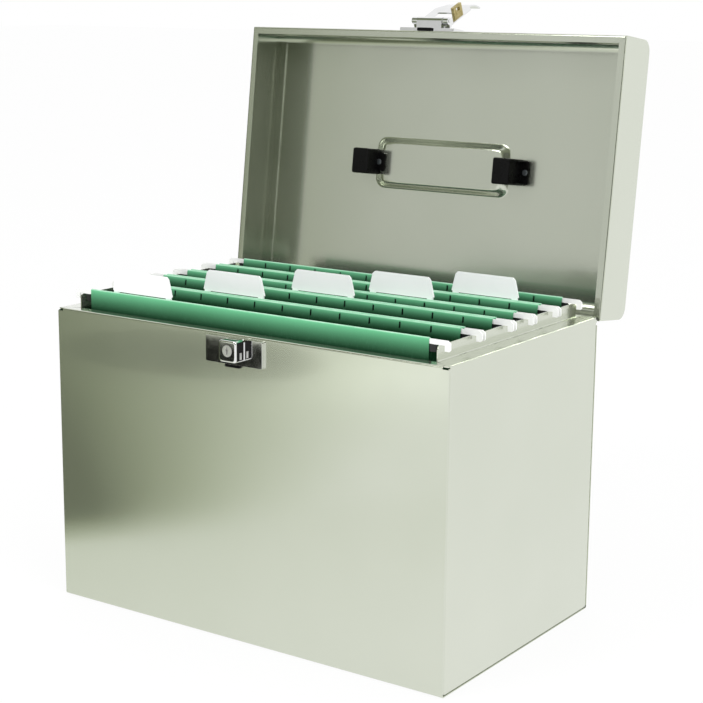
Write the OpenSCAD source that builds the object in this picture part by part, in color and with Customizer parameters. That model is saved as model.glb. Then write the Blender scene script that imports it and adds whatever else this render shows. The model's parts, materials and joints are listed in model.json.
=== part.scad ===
// Portable metal file box with five hanging files, open as it is used.
// Millimetres. +X is to the right, +Y to the back and +Z up.
// The origin is the centre of the underside, and the front faces -Y.

/* [Case] */
// Width of the case and the lid
case_w = 360; // [350:1:362]
// Depth of the case and the lid
case_d = 219; // [219:1:260]
// Height of the case up to its ledges
case_h = 237; // [225:1:300]
// Thickness of the steel sheet
sheet_t = 0.8; // [0.6:0.1:1]
// Width of the folded ledge along the front
front_ledge = 9.5; // [8:0.1:10]
// Width of the spot-welded flanges inside the corners
weld_flange = 11; // [8:1:12]
// Gap left where two sheets meet
seam = 0.3; // [0.2:0.1:0.6]
// Inside radius of a sharp fold
fold_r = 0.8; // [0.6:0.1:1.2]

/* [Rails] */
// Width of the ledge from each side of the case to the outer face of a rail
side_ledge = 15; // [14:0.5:16]
// Height of the rails above the ledges
rail_h = 11; // [9:0.5:12]
// Distance from the back of the case to the back end of a rail
rail_back_gap = 7.5; // [5:0.5:9]
// Radius of the upper corners of a rail
rail_corner = 3; // [2:0.5:6]

/* [Lid] */
// Height of the lid from its rim to its top
lid_h = 43; // [42:1:60]
// Angle at which the lid stands open, from closed
lid_open = 97; // [96:0.5:100]
// Outside radius of the long rounded edges of the lid
lid_round = 10; // [6:0.5:12]
// Width of the rim folded inwards round the mouth of the lid
lid_rim = 6; // [4:0.5:6]
// Gap between the ledges and the rim when the lid is closed
lid_gap = 0.5; // [0.3:0.1:1]

/* [Hinge] */
// Distance from each side of the case to the end of the hinge
hinge_inset = 14; // [13:0.5:20]
// Number of knuckles, an odd number
knuckles = 21; // [11:2:31]
// Height of a hinge leaf from the middle of the pin
leaf_h = 15; // [10:1:20]
// Thickness of the hinge leaves
leaf_t = 0.8; // [0.6:0.1:0.8]
// Diameter of the hinge pin
hinge_pin_d = 2; // [1.6:0.1:2.2]
// Outside diameter of a knuckle
knuckle_d = 4.4; // [4.4:0.1:4.6]

/* [Handle] */
// Length of the finger recess pressed into the lid
recess_len = 132; // [120:1:132]
// Width of the finger recess
recess_w = 43.8; // [30:0.2:44]
// Depth of the finger recess
recess_depth = 4; // [2:0.5:5]
// Width of the slope at each end of the recess
recess_end_slope = 8; // [5:0.5:9]
// Width of the slope along each side of the recess
recess_side_slope = 5.4; // [3:0.2:6]
// Distance between the centres of the handle's legs
leg_spacing = 143.2; // [143:0.2:146]
// Thickness of a handle leg
leg_t = 6; // [4:0.5:6]
// Width of a handle leg
leg_w = 14; // [10:0.5:15]
// Length of the handle grip
grip_len = 156; // [154:0.5:156]
// Width of the handle grip
grip_w = 20; // [16:1:26]
// Thickness of the handle grip
grip_t = 6; // [5:0.5:9]
// Height of a handle socket inside the lid
socket_depth = 23; // [18:0.5:24]
// Wall of a handle socket
socket_wall = 1.6; // [1.2:0.1:1.6]
// Thickness of the stop plate on the end of a leg
stop_t = 2.5; // [1.5:0.5:4]

/* [Lock] */
// Width of the lock plate and the hasp base
plate_w = 52; // [50:1:60]
// Distance that the lock plate and the hasp base sit left of the middle
plate_left = 2; // [0:0.5:2]
// Height of the lock plate
lock_plate_h = 19.9; // [19.5:0.1:24]
// Thickness of the lock plate and the hasp base
plate_t = 2.5; // [2:0.1:2.5]
// Distance from the top of the case down to the lock plate
lock_drop = 2.3; // [2:0.1:3]
// Width of the lock case
lock_case_w = 16; // [15.6:0.1:16]
// Height of the lock case
lock_case_h = 16.2; // [16.2:0.1:16.6]
// Distance that the lock case stands out from the box
lock_case_out = 12.5; // [12.5:0.1:12.6]
// Wall of the lock case
lock_wall = 1.2; // [1:0.1:1.2]
// Diameter of the key cylinder
cylinder_d = 8.6; // [7:0.2:9]
// Travel of the lock bolt
bolt_throw = 7; // [6.4:0.1:7]

/* [Hasp] */
// Angle at which the hasp is folded back, from closed
hasp_open = 151; // [146:1:155]
// Height of the hasp pin above the rim of the lid
hasp_pin_z = 6; // [6:0.1:6.4]
// Distance that the hasp pin stands out from the lid
hasp_pin_out = 8.5; // [8.4:0.1:8.6]
// Diameter of the hasp pin
hasp_pin_d = 2.4; // [2:0.1:2.6]
// Width of the hasp strap
strap_w = 34.6; // [33:0.2:36]
// Thickness of the hasp strap
strap_t = 1.2; // [1:0.1:1.3]
// Length of the flat part of the strap below the pin
strap_flat = 38; // [36:0.5:42]
// Angle through which the finger lip curls outwards
lip_angle = 45; // [20:1:50]
// Radius of the finger lip
lip_r = 28; // [20:1:30]
// Thickness of the staple that the bolt passes through
staple_t = 2.6; // [2:0.1:3]

/* [Files] */
// Distance from each edge of a file's card to the outer face of the rail
file_gap = 9; // [7:0.5:12]
// Height of a file from its bottom fold to its top
file_drop = 235; // [200:1:236]
// Thickness of the card
card_t = 0.5; // [0.4:0.1:0.5]
// Depth of the hem folded over a bar
hem = 18; // [15:1:24]
// Distance that the hooks of a bar reach past the outer face of a rail
hook_over = 8; // [6:0.5:9]
// Height of a file bar
bar_h = 10; // [8:0.5:12]
// Thickness of a file bar
bar_t = 1; // [0.8:0.1:1]
// Distance from the top of a rail up to the top of a bar
bar_rise = 3.6; // [3:0.1:4]
// Distance between the slots along a hem
slot_pitch = 26.35; // [26:0.05:27]
// Width of a tab
tab_w = 59.5; // [58:0.5:62]
// Height of a tab above the top of its file
tab_h = 16.6; // [14:0.2:18]
// Thickness of a tab
tab_t = 1.6; // [1.6:0.1:2]

/* [Hidden] */

$fn = 48;
// How far a cut runs past the face that it starts from
past = 1;
// Straight steps in a rounded fold
fold_steps = 5;
mid = sheet_t / 2;

// Case
front_y = -case_d / 2;
back_y = case_d / 2;
side_x = case_w / 2;
rail_x = side_x - side_ledge;
rail_start = front_y + front_ledge + seam;
rail_end = back_y - rail_back_gap;
rail_top = case_h + rail_h;
// Open notch where the front sheet stops short of the corner
notch_w = 5;
notch_h = 2.2;

// Hinge: both leaves lie against the inner faces of the back sheets
hinge_y = back_y + 0.5;
hinge_z = case_h - 3.65;
hinge_len = case_w - 2 * hinge_inset;
knuckle_clear = 0.3;
pin_clear = 0.1;
leaf_y = back_y - sheet_t - leaf_t;
knuckle_pitch = hinge_len / knuckles;
back_sheet_top = hinge_z - knuckle_d / 2 - knuckle_clear;
skirt_low = hinge_z + knuckle_d / 2 + knuckle_clear;
// Ears at the ends of the lid's leaf meet the underside of the side ledges when it is open
stop_gap = 0.1;
ear_w = hinge_inset - weld_flange - 2 * knuckle_clear;
ledge_rise = case_h - sheet_t - hinge_z;
ear_drop = (ledge_rise - stop_gap - (hinge_y - leaf_y) * sin(lid_open)) / -cos(lid_open);

// Lid, as it is when closed
lid_z = case_h + lid_gap;
lid_top = lid_z + lid_h;
lid_inside = lid_top - sheet_t;
// Width of the weld flange round the edge of a lid end, and height of its side above the rim
lid_flange = 7;
rim_side = 6;

// Handle
leg_x = leg_spacing / 2;
leg_clear = 0.6;
slot_x = leg_t / 2 + leg_clear;
slot_y = leg_w / 2 + leg_clear;
cavity_in = leg_x - leg_t / 2 - 2;
cavity_out = leg_x + leg_t / 2 + 1.3;
cavity_y = leg_w / 2 + 2.2;
stop_y = cavity_y - 0.4;
socket_in = cavity_in - socket_wall - 4;
socket_out = cavity_out + socket_wall;
socket_y = cavity_y + socket_wall;
flange_out = 6.5;
flange_t = 2.5;
socket_rivet_d = 2.6;
socket_rivet_head = 5;
recess_r = 9;
recess_floor_r = 6;
recess_floor = recess_len / 2 - recess_end_slope;
inner_rivet_x = socket_in - 1;
outer_rivet_x = socket_out + 3.8;
flange_start = inner_rivet_x - socket_rivet_head / 2 - 2.5;
rivet_seat_r = socket_rivet_head / 2 + 0.4;
handle_rest = 0.3;
socket_floor = lid_inside - socket_depth + socket_wall;

// Lock
plate_x = -plate_left;
lock_plate_top = case_h - lock_drop;
key_drop = 10;
key_z = case_h - key_drop;
lock_face = front_y - lock_case_out;
key_turn = 90;
crank_r = bolt_throw / (2 * sin(key_turn / 2));
crank_pin_d = 2.4;
crank_clear = 0.3;
cam_d = 12.6;
cam_t = 2;
cam_clear = 0.2;
cam_y = lock_face + lock_wall + cam_clear;
bolt_t = 2.4;
bolt_y = cam_y + cam_t + 1.5;
guide_y = cam_y + cam_t + cam_clear;
crank_end = bolt_y + bolt_t + 0.2;
support_y = crank_end + 0.2;
lock_low = lock_plate_top - lock_case_h + lock_wall;
bolt_low = lock_low + 0.2;
bolt_high = key_z - 0.8;
nose_low = bolt_low + 0.6;
nose_high = nose_low + 5;
bolt_clear = 0.3;
bolt_body = 5.8;
bolt_left = -lock_case_w / 2 + lock_wall + 0.4;
bolt_right = lock_case_w / 2 - 0.2;
rivet_d = 2.6;
rivet_clear = 0.1;
rivet_depth = 1.6;
rivet_head_d = 6;
rivet_head_t = 1.2;
rivet_edge = 5;
rivet_up = 4.5;
pad_from = -10.5;
pad_to = 3;
pad_drop = 2.4;
hasp_pad_from = -10;
hasp_pad_to = 4;

// Hasp, as it is when closed
hasp_y = front_y - hasp_pin_out;
hasp_z = lid_z + hasp_pin_z;
hasp_base_z = lid_z + 2.5;
hasp_base_h = 17.5;
riser_w = 24;
riser_r = 3.2;
// The riser stays below the edge of the strap when the hasp is folded back
riser_top = hasp_z + 2;
knuckle_r = 3;
strap_in = hasp_y - 3.6;
strap_out = strap_in - strap_t;
strap_end = hasp_z - strap_flat;
window_clear = 0.8;
tail_w = 24;
staple_x = lock_case_w / 2 + 3.6;
staple_wall = 1.7;
eye_clear = 0.3;
// Horns beside the knuckles meet the base plate when the hasp is folded back
horn_out = 6.3;
horn_rise = (hasp_pin_out - plate_t - stop_gap + horn_out * cos(hasp_open)) / sin(hasp_open);

// Files, with the places of the hanging points measured from the front face
file_w = 2 * (rail_x - file_gap);
bar_len = 2 * (rail_x + hook_over);
rail_run = rail_end - rail_start;
hang = [for (v = [0.0184, 0.2366, 0.4547, 0.6059, 0.7919, 0.9723]) rail_start + v * rail_run];
file_count = 5;
hem_r = bar_t / 2 + 0.2 + card_t / 2;
bar_top = rail_top + bar_rise;
fold_z = bar_top - 0.4;
file_top = fold_z + hem_r + card_t / 2;
pair_y = 2.2;
bottom_half = 2;
slot_w = 1.6;
slot_h = 4.6;
slot_z = rail_top + 0.4;
slots_each_side = 5;
hook_w = 4.6;
hook_from = rail_x + hook_over - hook_w;
tab_y = hem_r + card_t / 2 + 0.3;
tab_taper = 8.5;
tab_top_w = tab_w - tab_taper;
tab_low = file_top + 0.2;
foot_w = 5;
prong_w = 1.1;
prong_h = 3.4;
tab_pocket = 0.6;
tab_wall = (tab_t - tab_pocket) / 2;
label_t = 0.3;

// Colours
paint = [0.72, 0.75, 0.66];
bright = [0.82, 0.83, 0.84];
brown = [0.45, 0.40, 0.22];
plastic = [0.06, 0.06, 0.07];
green = [0.25, 0.58, 0.41];
white = [0.95, 0.96, 0.95];
clear = [0.86, 0.90, 0.92];

// Points of an open path with its inner corners rounded
function turned(v, w) = [v[0] * cos(w) - v[1] * sin(w), v[0] * sin(w) + v[1] * cos(w)];
function left_of(v) = [-v[1], v[0]] / norm(v);
function corner(a, b, c, r, steps) =
    let (u = (b - a) / norm(b - a))
    let (v = (c - b) / norm(c - b))
    let (side = cross(u, v) > 0 ? 1 : -1)
    let (turn = acos(max(-1, min(1, u * v))))
    let (start = b - u * r * tan(turn / 2))
    let (centre = start + side * r * left_of(u))
    [for (i = [0:steps]) centre + turned(start - centre, side * turn * i / steps)];
function rounded(p, radii, steps) =
    let (last = len(p) - 1)
    concat(
        [p[0]],
        [for (i = [1:last - 1]) each corner(p[i - 1], p[i], p[i + 1], radii[i - 1], steps)],
        [p[last]]
    );
function same(value, count) = [for (i = [1:count]) value];

// Outline of a sheet of one thickness that follows a path along its middle
function before(p, i) = p[i] - p[max(0, i - 1)];
function after(p, i) = p[min(len(p) - 1, i + 1)] - p[i];
function normal_at(p, i) =
    let (a = norm(before(p, i)) > 0 ? left_of(before(p, i)) : left_of(after(p, i)))
    let (b = norm(after(p, i)) > 0 ? left_of(after(p, i)) : a)
    (a + b) / (1 + a * b);
function sheet(p, t) = concat(
    [for (i = [0:len(p) - 1]) p[i] + normal_at(p, i) * t / 2],
    [for (i = [len(p) - 1:-1:0]) p[i] - normal_at(p, i) * t / 2]
);
// Closed rectangle with rounded corners
function round_rect(low, high, r, steps = 4) = [
    for (c = [
        [high[0] - r, high[1] - r, 0],
        [low[0] + r, high[1] - r, 90],
        [low[0] + r, low[1] + r, 180],
        [high[0] - r, low[1] + r, 270]
    ])
        for (i = [0:steps])
            [c[0] + r * cos(c[2] + 90 * i / steps), c[1] + r * sin(c[2] + 90 * i / steps)]
];

// Extrusions of an outline drawn in (y, z), and of one drawn in (x, z)
module along_x(from, to) {
    translate([from, 0, 0])
        rotate([90, 0, 90])
            linear_extrude(to - from)
                children();
}
module along_y(from, to) {
    translate([0, to, 0])
        rotate([90, 0, 0])
            linear_extrude(to - from)
                children();
}
module block(low, high) {
    translate(low)
        cube(high - low);
}
module pin_x(from, to, d, y, z) {
    translate([from, y, z])
        rotate([0, 90, 0])
            cylinder(d = d, h = to - from);
}
module pin_y(from, to, d, x, z) {
    translate([x, to, z])
        rotate([90, 0, 0])
            cylinder(d = d, h = to - from);
}
module pin_z(from, to, d, x, y) {
    translate([x, y, from])
        cylinder(d = d, h = to - from);
}
module both_sides() {
    children();
    mirror([1, 0, 0])
        children();
}

// The lid turns about the hinge, and the hasp turns about its own pin
module lid_pose() {
    translate([0, hinge_y, hinge_z])
        rotate([-lid_open, 0, 0])
            translate([0, -hinge_y, -hinge_z])
                children();
}
module hasp_pose() {
    lid_pose()
        translate([0, hasp_y, hasp_z])
            rotate([-hasp_open, 0, 0])
                translate([0, -hasp_y, -hasp_z])
                    children();
}

// Rivet places on the lock plate and the hasp base
module lock_rivet_places() {
    for (x = [plate_x - plate_w / 2 + rivet_edge, plate_x + plate_w / 2 - rivet_edge])
        for (z = [lock_plate_top - rivet_up, lock_plate_top - lock_plate_h + rivet_up])
            translate([x, 0, z])
                children();
}
module hasp_rivet_places() {
    for (x = [plate_x - plate_w / 2 + rivet_edge, plate_x + plate_w / 2 - rivet_edge])
        for (z = [hasp_base_z + rivet_up, hasp_base_z + hasp_base_h - rivet_up])
            translate([x, 0, z])
                children();
}
// A blind rivet set into the back of a plate, with its tail inside the sheet
module rivet() {
    pin_y(front_y - rivet_depth, front_y + sheet_t, rivet_d, 0, 0);
    pin_y(front_y + sheet_t, front_y + sheet_t + rivet_head_t, rivet_head_d, 0, 0);
}
module rivet_hole() {
    pin_y(
        front_y - rivet_depth - rivet_clear, front_y + past,
        rivet_d + 2 * rivet_clear, 0, 0
    );
}

// Case wrap: ledge, front, bottom and back from one sheet
module case_wrap() {
    path = rounded(
        [
            [front_y + front_ledge, case_h - mid],
            [front_y + mid, case_h - mid],
            [front_y + mid, mid],
            [back_y - mid, mid],
            [back_y - mid, back_sheet_top]
        ],
        same(fold_r + mid, 3),
        fold_steps
    );
    color(paint)
        difference() {
            along_x(-side_x, side_x)
                polygon(sheet(path, sheet_t));
            both_sides() {
                // The ledge ends on a diagonal from the corner to the foot of the rail
                translate([0, 0, case_h - sheet_t - fold_r])
                    linear_extrude(sheet_t + fold_r + past)
                        polygon([
                            [side_x + past, front_y + 2 * sheet_t],
                            [side_x - notch_w, front_y + 2 * sheet_t],
                            [side_x - notch_w, front_y + notch_w * front_ledge / (side_x - rail_x)],
                            [rail_x - seam, front_y + front_ledge],
                            [rail_x - seam, front_y + front_ledge + past],
                            [side_x + past, front_y + front_ledge + past]
                        ]);
                block(
                    [side_x - notch_w, front_y - past, case_h - notch_h],
                    [side_x + past, front_y + 3 * sheet_t, case_h + past]
                );
            }
            lock_rivet_places()
                pin_y(front_y - past, front_y + sheet_t + past, rivet_d + 2 * rivet_clear, 0, 0);
        }
}

// Case end: panel with weld flanges inside the wrap, a ledge and a rail
module case_end() {
    inner_front = front_y + sheet_t;
    inner_back = back_y - sheet_t;
    bend = fold_r + mid;
    flanges = rounded(
        [
            [side_x - weld_flange, inner_front + mid],
            [side_x - mid, inner_front + mid],
            [side_x - mid, inner_back - mid],
            [side_x - weld_flange, inner_back - mid]
        ],
        same(bend, 2),
        fold_steps
    );
    section = rounded(
        [
            [side_x - weld_flange, sheet_t + mid],
            [side_x - mid, sheet_t + mid],
            [side_x - mid, case_h - mid],
            [rail_x - mid, case_h - mid],
            [rail_x - mid, rail_top]
        ],
        same(bend, 3),
        fold_steps
    );
    translate([0, 0, 2 * sheet_t + fold_r])
        linear_extrude(case_h - 3 * sheet_t - fold_r - notch_h)
            polygon(sheet(flanges, sheet_t));
    difference() {
        along_y(inner_front + sheet_t + fold_r, inner_back - sheet_t - fold_r)
            polygon(sheet(section, sheet_t));
        block(
            [rail_x - 2 * sheet_t, front_y, case_h - 2 * sheet_t],
            [rail_x + sheet_t, rail_start, rail_top + past]
        );
        block(
            [rail_x - 2 * sheet_t, rail_end, case_h - 2 * sheet_t],
            [rail_x + sheet_t, back_y, rail_top + past]
        );
        corner_cut(rail_start, 1);
        corner_cut(rail_end, -1);
        translate([0, 0, case_h - sheet_t - fold_r])
            linear_extrude(sheet_t + fold_r + past)
                polygon([
                    [rail_x - 2, front_y],
                    [side_x - notch_w, front_y],
                    [side_x - notch_w + seam, front_y + 2 * sheet_t + fold_r],
                    [rail_x + sheet_t, rail_start],
                    [rail_x - 2, rail_start]
                ]);
    }
    // The ledge carried on into the front corner, and into the back one beside the lid's ears
    translate([0, 0, case_h - sheet_t])
        linear_extrude(sheet_t)
            polygon([
                [side_x - fold_r, inner_front + 0.1],
                [side_x - fold_r, inner_front + 4 * sheet_t],
                [side_x - notch_w + seam, inner_front + 4 * sheet_t],
                [side_x - notch_w + seam, inner_front + 0.1]
            ]);
    translate([0, 0, case_h - sheet_t])
        linear_extrude(sheet_t)
            polygon([
                [side_x - fold_r, inner_back - 4 * sheet_t],
                [side_x - fold_r, inner_back],
                [side_x - weld_flange, inner_back],
                [side_x - weld_flange, leaf_y - knuckle_clear],
                [rail_x + sheet_t, leaf_y - knuckle_clear],
                [rail_x + sheet_t, inner_back - 4 * sheet_t]
            ]);
    // Upper parts of the panel's two corners
    for (y = [inner_front, inner_back - 2 * sheet_t - fold_r])
        block(
            [side_x - sheet_t, y, case_h - notch_h - sheet_t - past],
            [side_x, y + 2 * sheet_t + fold_r, case_h - sheet_t - fold_r]
        );
}
// Rounds the upper corner of a rail that starts at y and runs inward
module corner_cut(y, inward) {
    difference() {
        block(
            [rail_x - 2 * sheet_t, min(y - past, y + inward * rail_corner), rail_top - rail_corner],
            [rail_x + sheet_t, max(y + past, y + inward * rail_corner), rail_top + past]
        );
        pin_x(
            rail_x - 3 * sheet_t, rail_x + 2 * sheet_t, 2 * rail_corner,
            y + inward * rail_corner, rail_top - rail_corner
        );
    }
}
module case_end_right() {
    color(paint)
        case_end();
}
module case_end_left() {
    color(paint)
        mirror([1, 0, 0])
            case_end();
}

// Hinge leaf with every second knuckle: up is 1 on the lid and -1 on the case
function knuckle_start(i) = -hinge_len / 2 + i * knuckle_pitch;
module hinge_leaf(up, first) {
    far = hinge_z + up * leaf_h;
    edge = hinge_z + up * (knuckle_d / 2 + knuckle_clear);
    difference() {
        union() {
            block(
                [-hinge_len / 2, leaf_y, min(edge, far)],
                [hinge_len / 2, leaf_y + leaf_t, max(edge, far)]
            );
            for (i = [first:2:knuckles - 1]) {
                from = knuckle_start(i) + (i > 0 ? knuckle_clear / 2 : 0);
                to = knuckle_start(i + 1) - (i < knuckles - 1 ? knuckle_clear / 2 : 0);
                block(
                    [from, leaf_y, min(hinge_z, edge + up * past)],
                    [to, leaf_y + leaf_t, max(hinge_z, edge + up * past)]
                );
                pin_x(from, to, knuckle_d, hinge_y, hinge_z);
            }
        }
        pin_x(
            -hinge_len / 2 - past, hinge_len / 2 + past,
            hinge_pin_d + 2 * pin_clear, hinge_y, hinge_z
        );
    }
}
module hinge_leaf_case() {
    color(bright)
        hinge_leaf(-1, 0);
}
module hinge_leaf_lid() {
    color(bright)
        lid_pose() {
            hinge_leaf(1, 1);
            both_sides() {
                block(
                    [hinge_len / 2 + knuckle_clear, leaf_y, hinge_z - ear_drop],
                    [hinge_len / 2 + knuckle_clear + ear_w, leaf_y + leaf_t - 0.2, hinge_z + leaf_h]
                );
                block(
                    [hinge_len / 2 - past, leaf_y, skirt_low + knuckle_clear],
                    [hinge_len / 2 + knuckle_clear + ear_w, leaf_y + leaf_t, hinge_z + leaf_h]
                );
            }
        }
}
module hinge_pin() {
    color(bright)
        pin_x(-hinge_len / 2, hinge_len / 2, hinge_pin_d, hinge_y, hinge_z);
}

// Lock
module lock_plate() {
    color(bright) {
        difference() {
            along_y(front_y - plate_t, front_y)
                polygon(round_rect(
                    [plate_x - plate_w / 2, lock_plate_top - lock_plate_h],
                    [plate_x + plate_w / 2, lock_plate_top],
                    1
                ));
            lock_rivet_places()
                rivet_hole();
        }
        // Guide that bears on the top of the bolt and the back of the cam
        block(
            [-3, guide_y, bolt_high + bolt_clear],
            [3, front_y - plate_t, key_z + 4]
        );
        // Support behind the bolt
        block(
            [bolt_left, support_y, bolt_low + 0.2],
            [-bolt_left, front_y - plate_t, bolt_high - 0.2]
        );
    }
}
module lock_case() {
    left = -lock_case_w / 2;
    low = lock_plate_top - lock_case_h;
    color(bright)
        difference() {
            along_y(lock_face, front_y - plate_t)
                polygon(round_rect([left, low], [-left, lock_plate_top], 1.1));
            block(
                [left + lock_wall, lock_face + lock_wall, low + lock_wall],
                [-left - lock_wall, front_y - plate_t + past, lock_plate_top - lock_wall]
            );
            pin_y(lock_face - past, lock_face + lock_wall + past, cylinder_d + 0.4, 0, key_z);
            // Slot for the bolt in the middle of a sunk panel
            block(
                [-left - lock_wall - past, bolt_y - bolt_clear, nose_low - 0.2],
                [-left + past, bolt_y + bolt_t + bolt_clear, nose_high + 0.2]
            );
            block(
                [-left - 0.4, lock_face + 1.2, low + 1.2],
                [-left + past, front_y - plate_t - 0.8, lock_plate_top - 1.2]
            );
        }
}
module lock_cylinder() {
    color(bright)
        difference() {
            union() {
                pin_y(lock_face - 0.3, cam_y + cam_t, cylinder_d, 0, key_z);
                pin_y(cam_y, cam_y + cam_t, cam_d, 0, key_z);
                pin_y(
                    cam_y + cam_t / 2, crank_end, crank_pin_d,
                    crank_r * cos(225), key_z + crank_r * sin(225)
                );
            }
            block([-0.6, lock_face - past, key_z - 2.8], [0.6, lock_face + 1.6, key_z + 2.8]);
            pin_y(lock_face - past, lock_face + 1.6, 2.6, 0, key_z + 1);
        }
}
module lock_bolt() {
    body_right = bolt_left + bolt_body;
    slot = crank_pin_d / 2 + crank_clear;
    color(bright)
        difference() {
            union() {
                block([bolt_left, bolt_y, bolt_low], [body_right, bolt_y + bolt_t, bolt_high]);
                block([bolt_left, bolt_y, nose_low], [bolt_right, bolt_y + bolt_t, nose_high]);
            }
            block(
                [-bolt_throw / 2 - slot, bolt_y - past, key_z - crank_r - slot + 0.05],
                [-bolt_throw / 2 + slot, bolt_y + bolt_t + past, key_z - 2]
            );
        }
}
module lock_rivets() {
    color(bright)
        lock_rivet_places()
            rivet();
}
module lock_pad() {
    color(plastic)
        block(
            [pad_from, front_y - plate_t, lock_plate_top - lock_plate_h - pad_drop],
            [pad_to, front_y, lock_plate_top - lock_plate_h]
        );
}

// Lid wrap: front rim, front, top and back from one sheet, with the finger recess
module recess(grow) {
    hull()
        for (x = [-1, 1], y = [-1, 1]) {
            translate([
                x * (recess_len / 2 - recess_r),
                y * (recess_w / 2 - recess_r),
                lid_top - (grow > 0 ? sheet_t : -past)
            ])
                cylinder(r = recess_r + grow, h = 0.01, $fn = 32);
            translate([
                x * (recess_floor - recess_floor_r),
                y * (recess_w / 2 - recess_side_slope - recess_floor_r),
                lid_top - recess_depth - grow
            ])
                cylinder(r = recess_floor_r + grow, h = 0.01, $fn = 32);
        }
    // A round seat for each inner rivet, pressed into the end slope
    for (x = [-1, 1])
        pin_z(
            lid_top - recess_depth - grow, lid_top - (grow > 0 ? sheet_t : -past),
            2 * (rivet_seat_r + grow), x * inner_rivet_x, 0
        );
}
module leg_slot(side) {
    block(
        [side * leg_x - slot_x, -slot_y, lid_inside - past],
        [side * leg_x + slot_x, slot_y, lid_top + past]
    );
}
module lid_wrap() {
    path = rounded(
        [
            [front_y + lid_rim, lid_z + mid],
            [front_y + mid, lid_z + mid],
            [front_y + mid, lid_top - mid],
            [back_y - mid, lid_top - mid],
            [back_y - mid, skirt_low]
        ],
        [fold_r + mid, lid_round - mid, lid_round - mid],
        8
    );
    color(paint)
        lid_pose()
            difference() {
                union() {
                    along_x(-side_x, side_x)
                        polygon(sheet(path, sheet_t));
                    recess(sheet_t);
                }
                recess(0);
                both_sides() {
                    // The rim ends on a diagonal
                    translate([0, 0, lid_z - past])
                        linear_extrude(past + sheet_t + fold_r)
                            polygon([
                                [side_x - 2 * sheet_t - 0.4, front_y + 2 * sheet_t],
                                [side_x - lid_rim - 0.4, front_y + lid_rim],
                                [side_x - lid_rim - 0.4, front_y + lid_rim + past],
                                [side_x + past, front_y + lid_rim + past],
                                [side_x + past, front_y + 2 * sheet_t]
                            ]);
                    leg_slot(1);
                }
                both_sides()
                    for (p = [inner_rivet_x, outer_rivet_x])
                        pin_z(
                            lid_top - recess_depth - 2, lid_top + past,
                            socket_rivet_d + 2 * rivet_clear, p, 0
                        );
                hasp_rivet_places()
                    pin_y(front_y - past, front_y + sheet_t + past, rivet_d + 2 * rivet_clear, 0, 0);
            }
}

// Lid end: a cap with weld flanges inside the wrap and a rim round the mouth
module lid_end() {
    inner_front = front_y + sheet_t;
    inner_back = back_y - sheet_t;
    cap = concat(
        [[inner_back, lid_z + sheet_t + fold_r]],
        corner(
            [inner_back, lid_z], [inner_back, lid_inside], [inner_front, lid_inside],
            lid_round - sheet_t, 8
        ),
        corner(
            [inner_back, lid_inside], [inner_front, lid_inside], [inner_front, lid_z],
            lid_round - sheet_t, 8
        ),
        [[inner_front, lid_z + sheet_t + fold_r]]
    );
    ring = rounded(
        [
            [inner_front + mid, lid_z + 2 * sheet_t + fold_r],
            [inner_front + mid, lid_inside - mid],
            [inner_back - mid, lid_inside - mid],
            [inner_back - mid, lid_z + sheet_t + fold_r]
        ],
        same(lid_round - sheet_t - mid, 2),
        8
    );
    rim = rounded(
        [
            [side_x - lid_rim, lid_z + mid],
            [side_x - mid, lid_z + mid],
            [side_x - mid, lid_z + rim_side]
        ],
        same(fold_r + mid, 1),
        fold_steps
    );
    along_x(side_x - sheet_t, side_x)
        polygon(cap);
    along_x(side_x - lid_flange, side_x)
        polygon(sheet(ring, sheet_t));
    difference() {
        along_y(inner_front + 0.1, inner_back)
            polygon(sheet(rim, sheet_t));
        translate([0, 0, lid_z - past])
            linear_extrude(past + sheet_t + 0.2)
                polygon([
                    [side_x - lid_rim - past, front_y],
                    [side_x - 2 * sheet_t, front_y],
                    [side_x - 2 * sheet_t, front_y + 2 * sheet_t],
                    [side_x - lid_rim - past, front_y + lid_rim + past]
                ]);
    }
}
module lid_end_right() {
    color(paint)
        lid_pose()
            lid_end();
}
module lid_end_left() {
    color(paint)
        lid_pose()
            mirror([1, 0, 0])
                lid_end();
}

// Hasp
module hasp_base() {
    web = riser_w / 2;
    color(bright)
        lid_pose()
            difference() {
                union() {
                    along_y(front_y - plate_t, front_y)
                        polygon(round_rect(
                            [plate_x - plate_w / 2, hasp_base_z],
                            [plate_x + plate_w / 2, hasp_base_z + hasp_base_h],
                            1
                        ));
                    block(
                        [-web, hasp_y, hasp_base_z],
                        [web, front_y - plate_t / 2, riser_top]
                    );
                    pin_x(-web, web, 2 * riser_r, hasp_y, hasp_z);
                }
                pin_x(-web - past, web + past, hasp_pin_d + 2 * pin_clear, hasp_y, hasp_z);
                hasp_rivet_places()
                    rivet_hole();
            }
}
module hasp_rivets() {
    color(bright)
        lid_pose()
            hasp_rivet_places()
                rivet();
}
module hasp_pin() {
    color(bright)
        lid_pose()
            pin_x(-strap_w / 2 - 0.6, strap_w / 2 + 0.6, hasp_pin_d, hasp_y, hasp_z);
}
module hasp_pad() {
    color(plastic)
        lid_pose()
            block(
                [hasp_pad_from, front_y - plate_t, lid_z + 0.4],
                [hasp_pad_to, front_y, hasp_base_z]
            );
}
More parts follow.
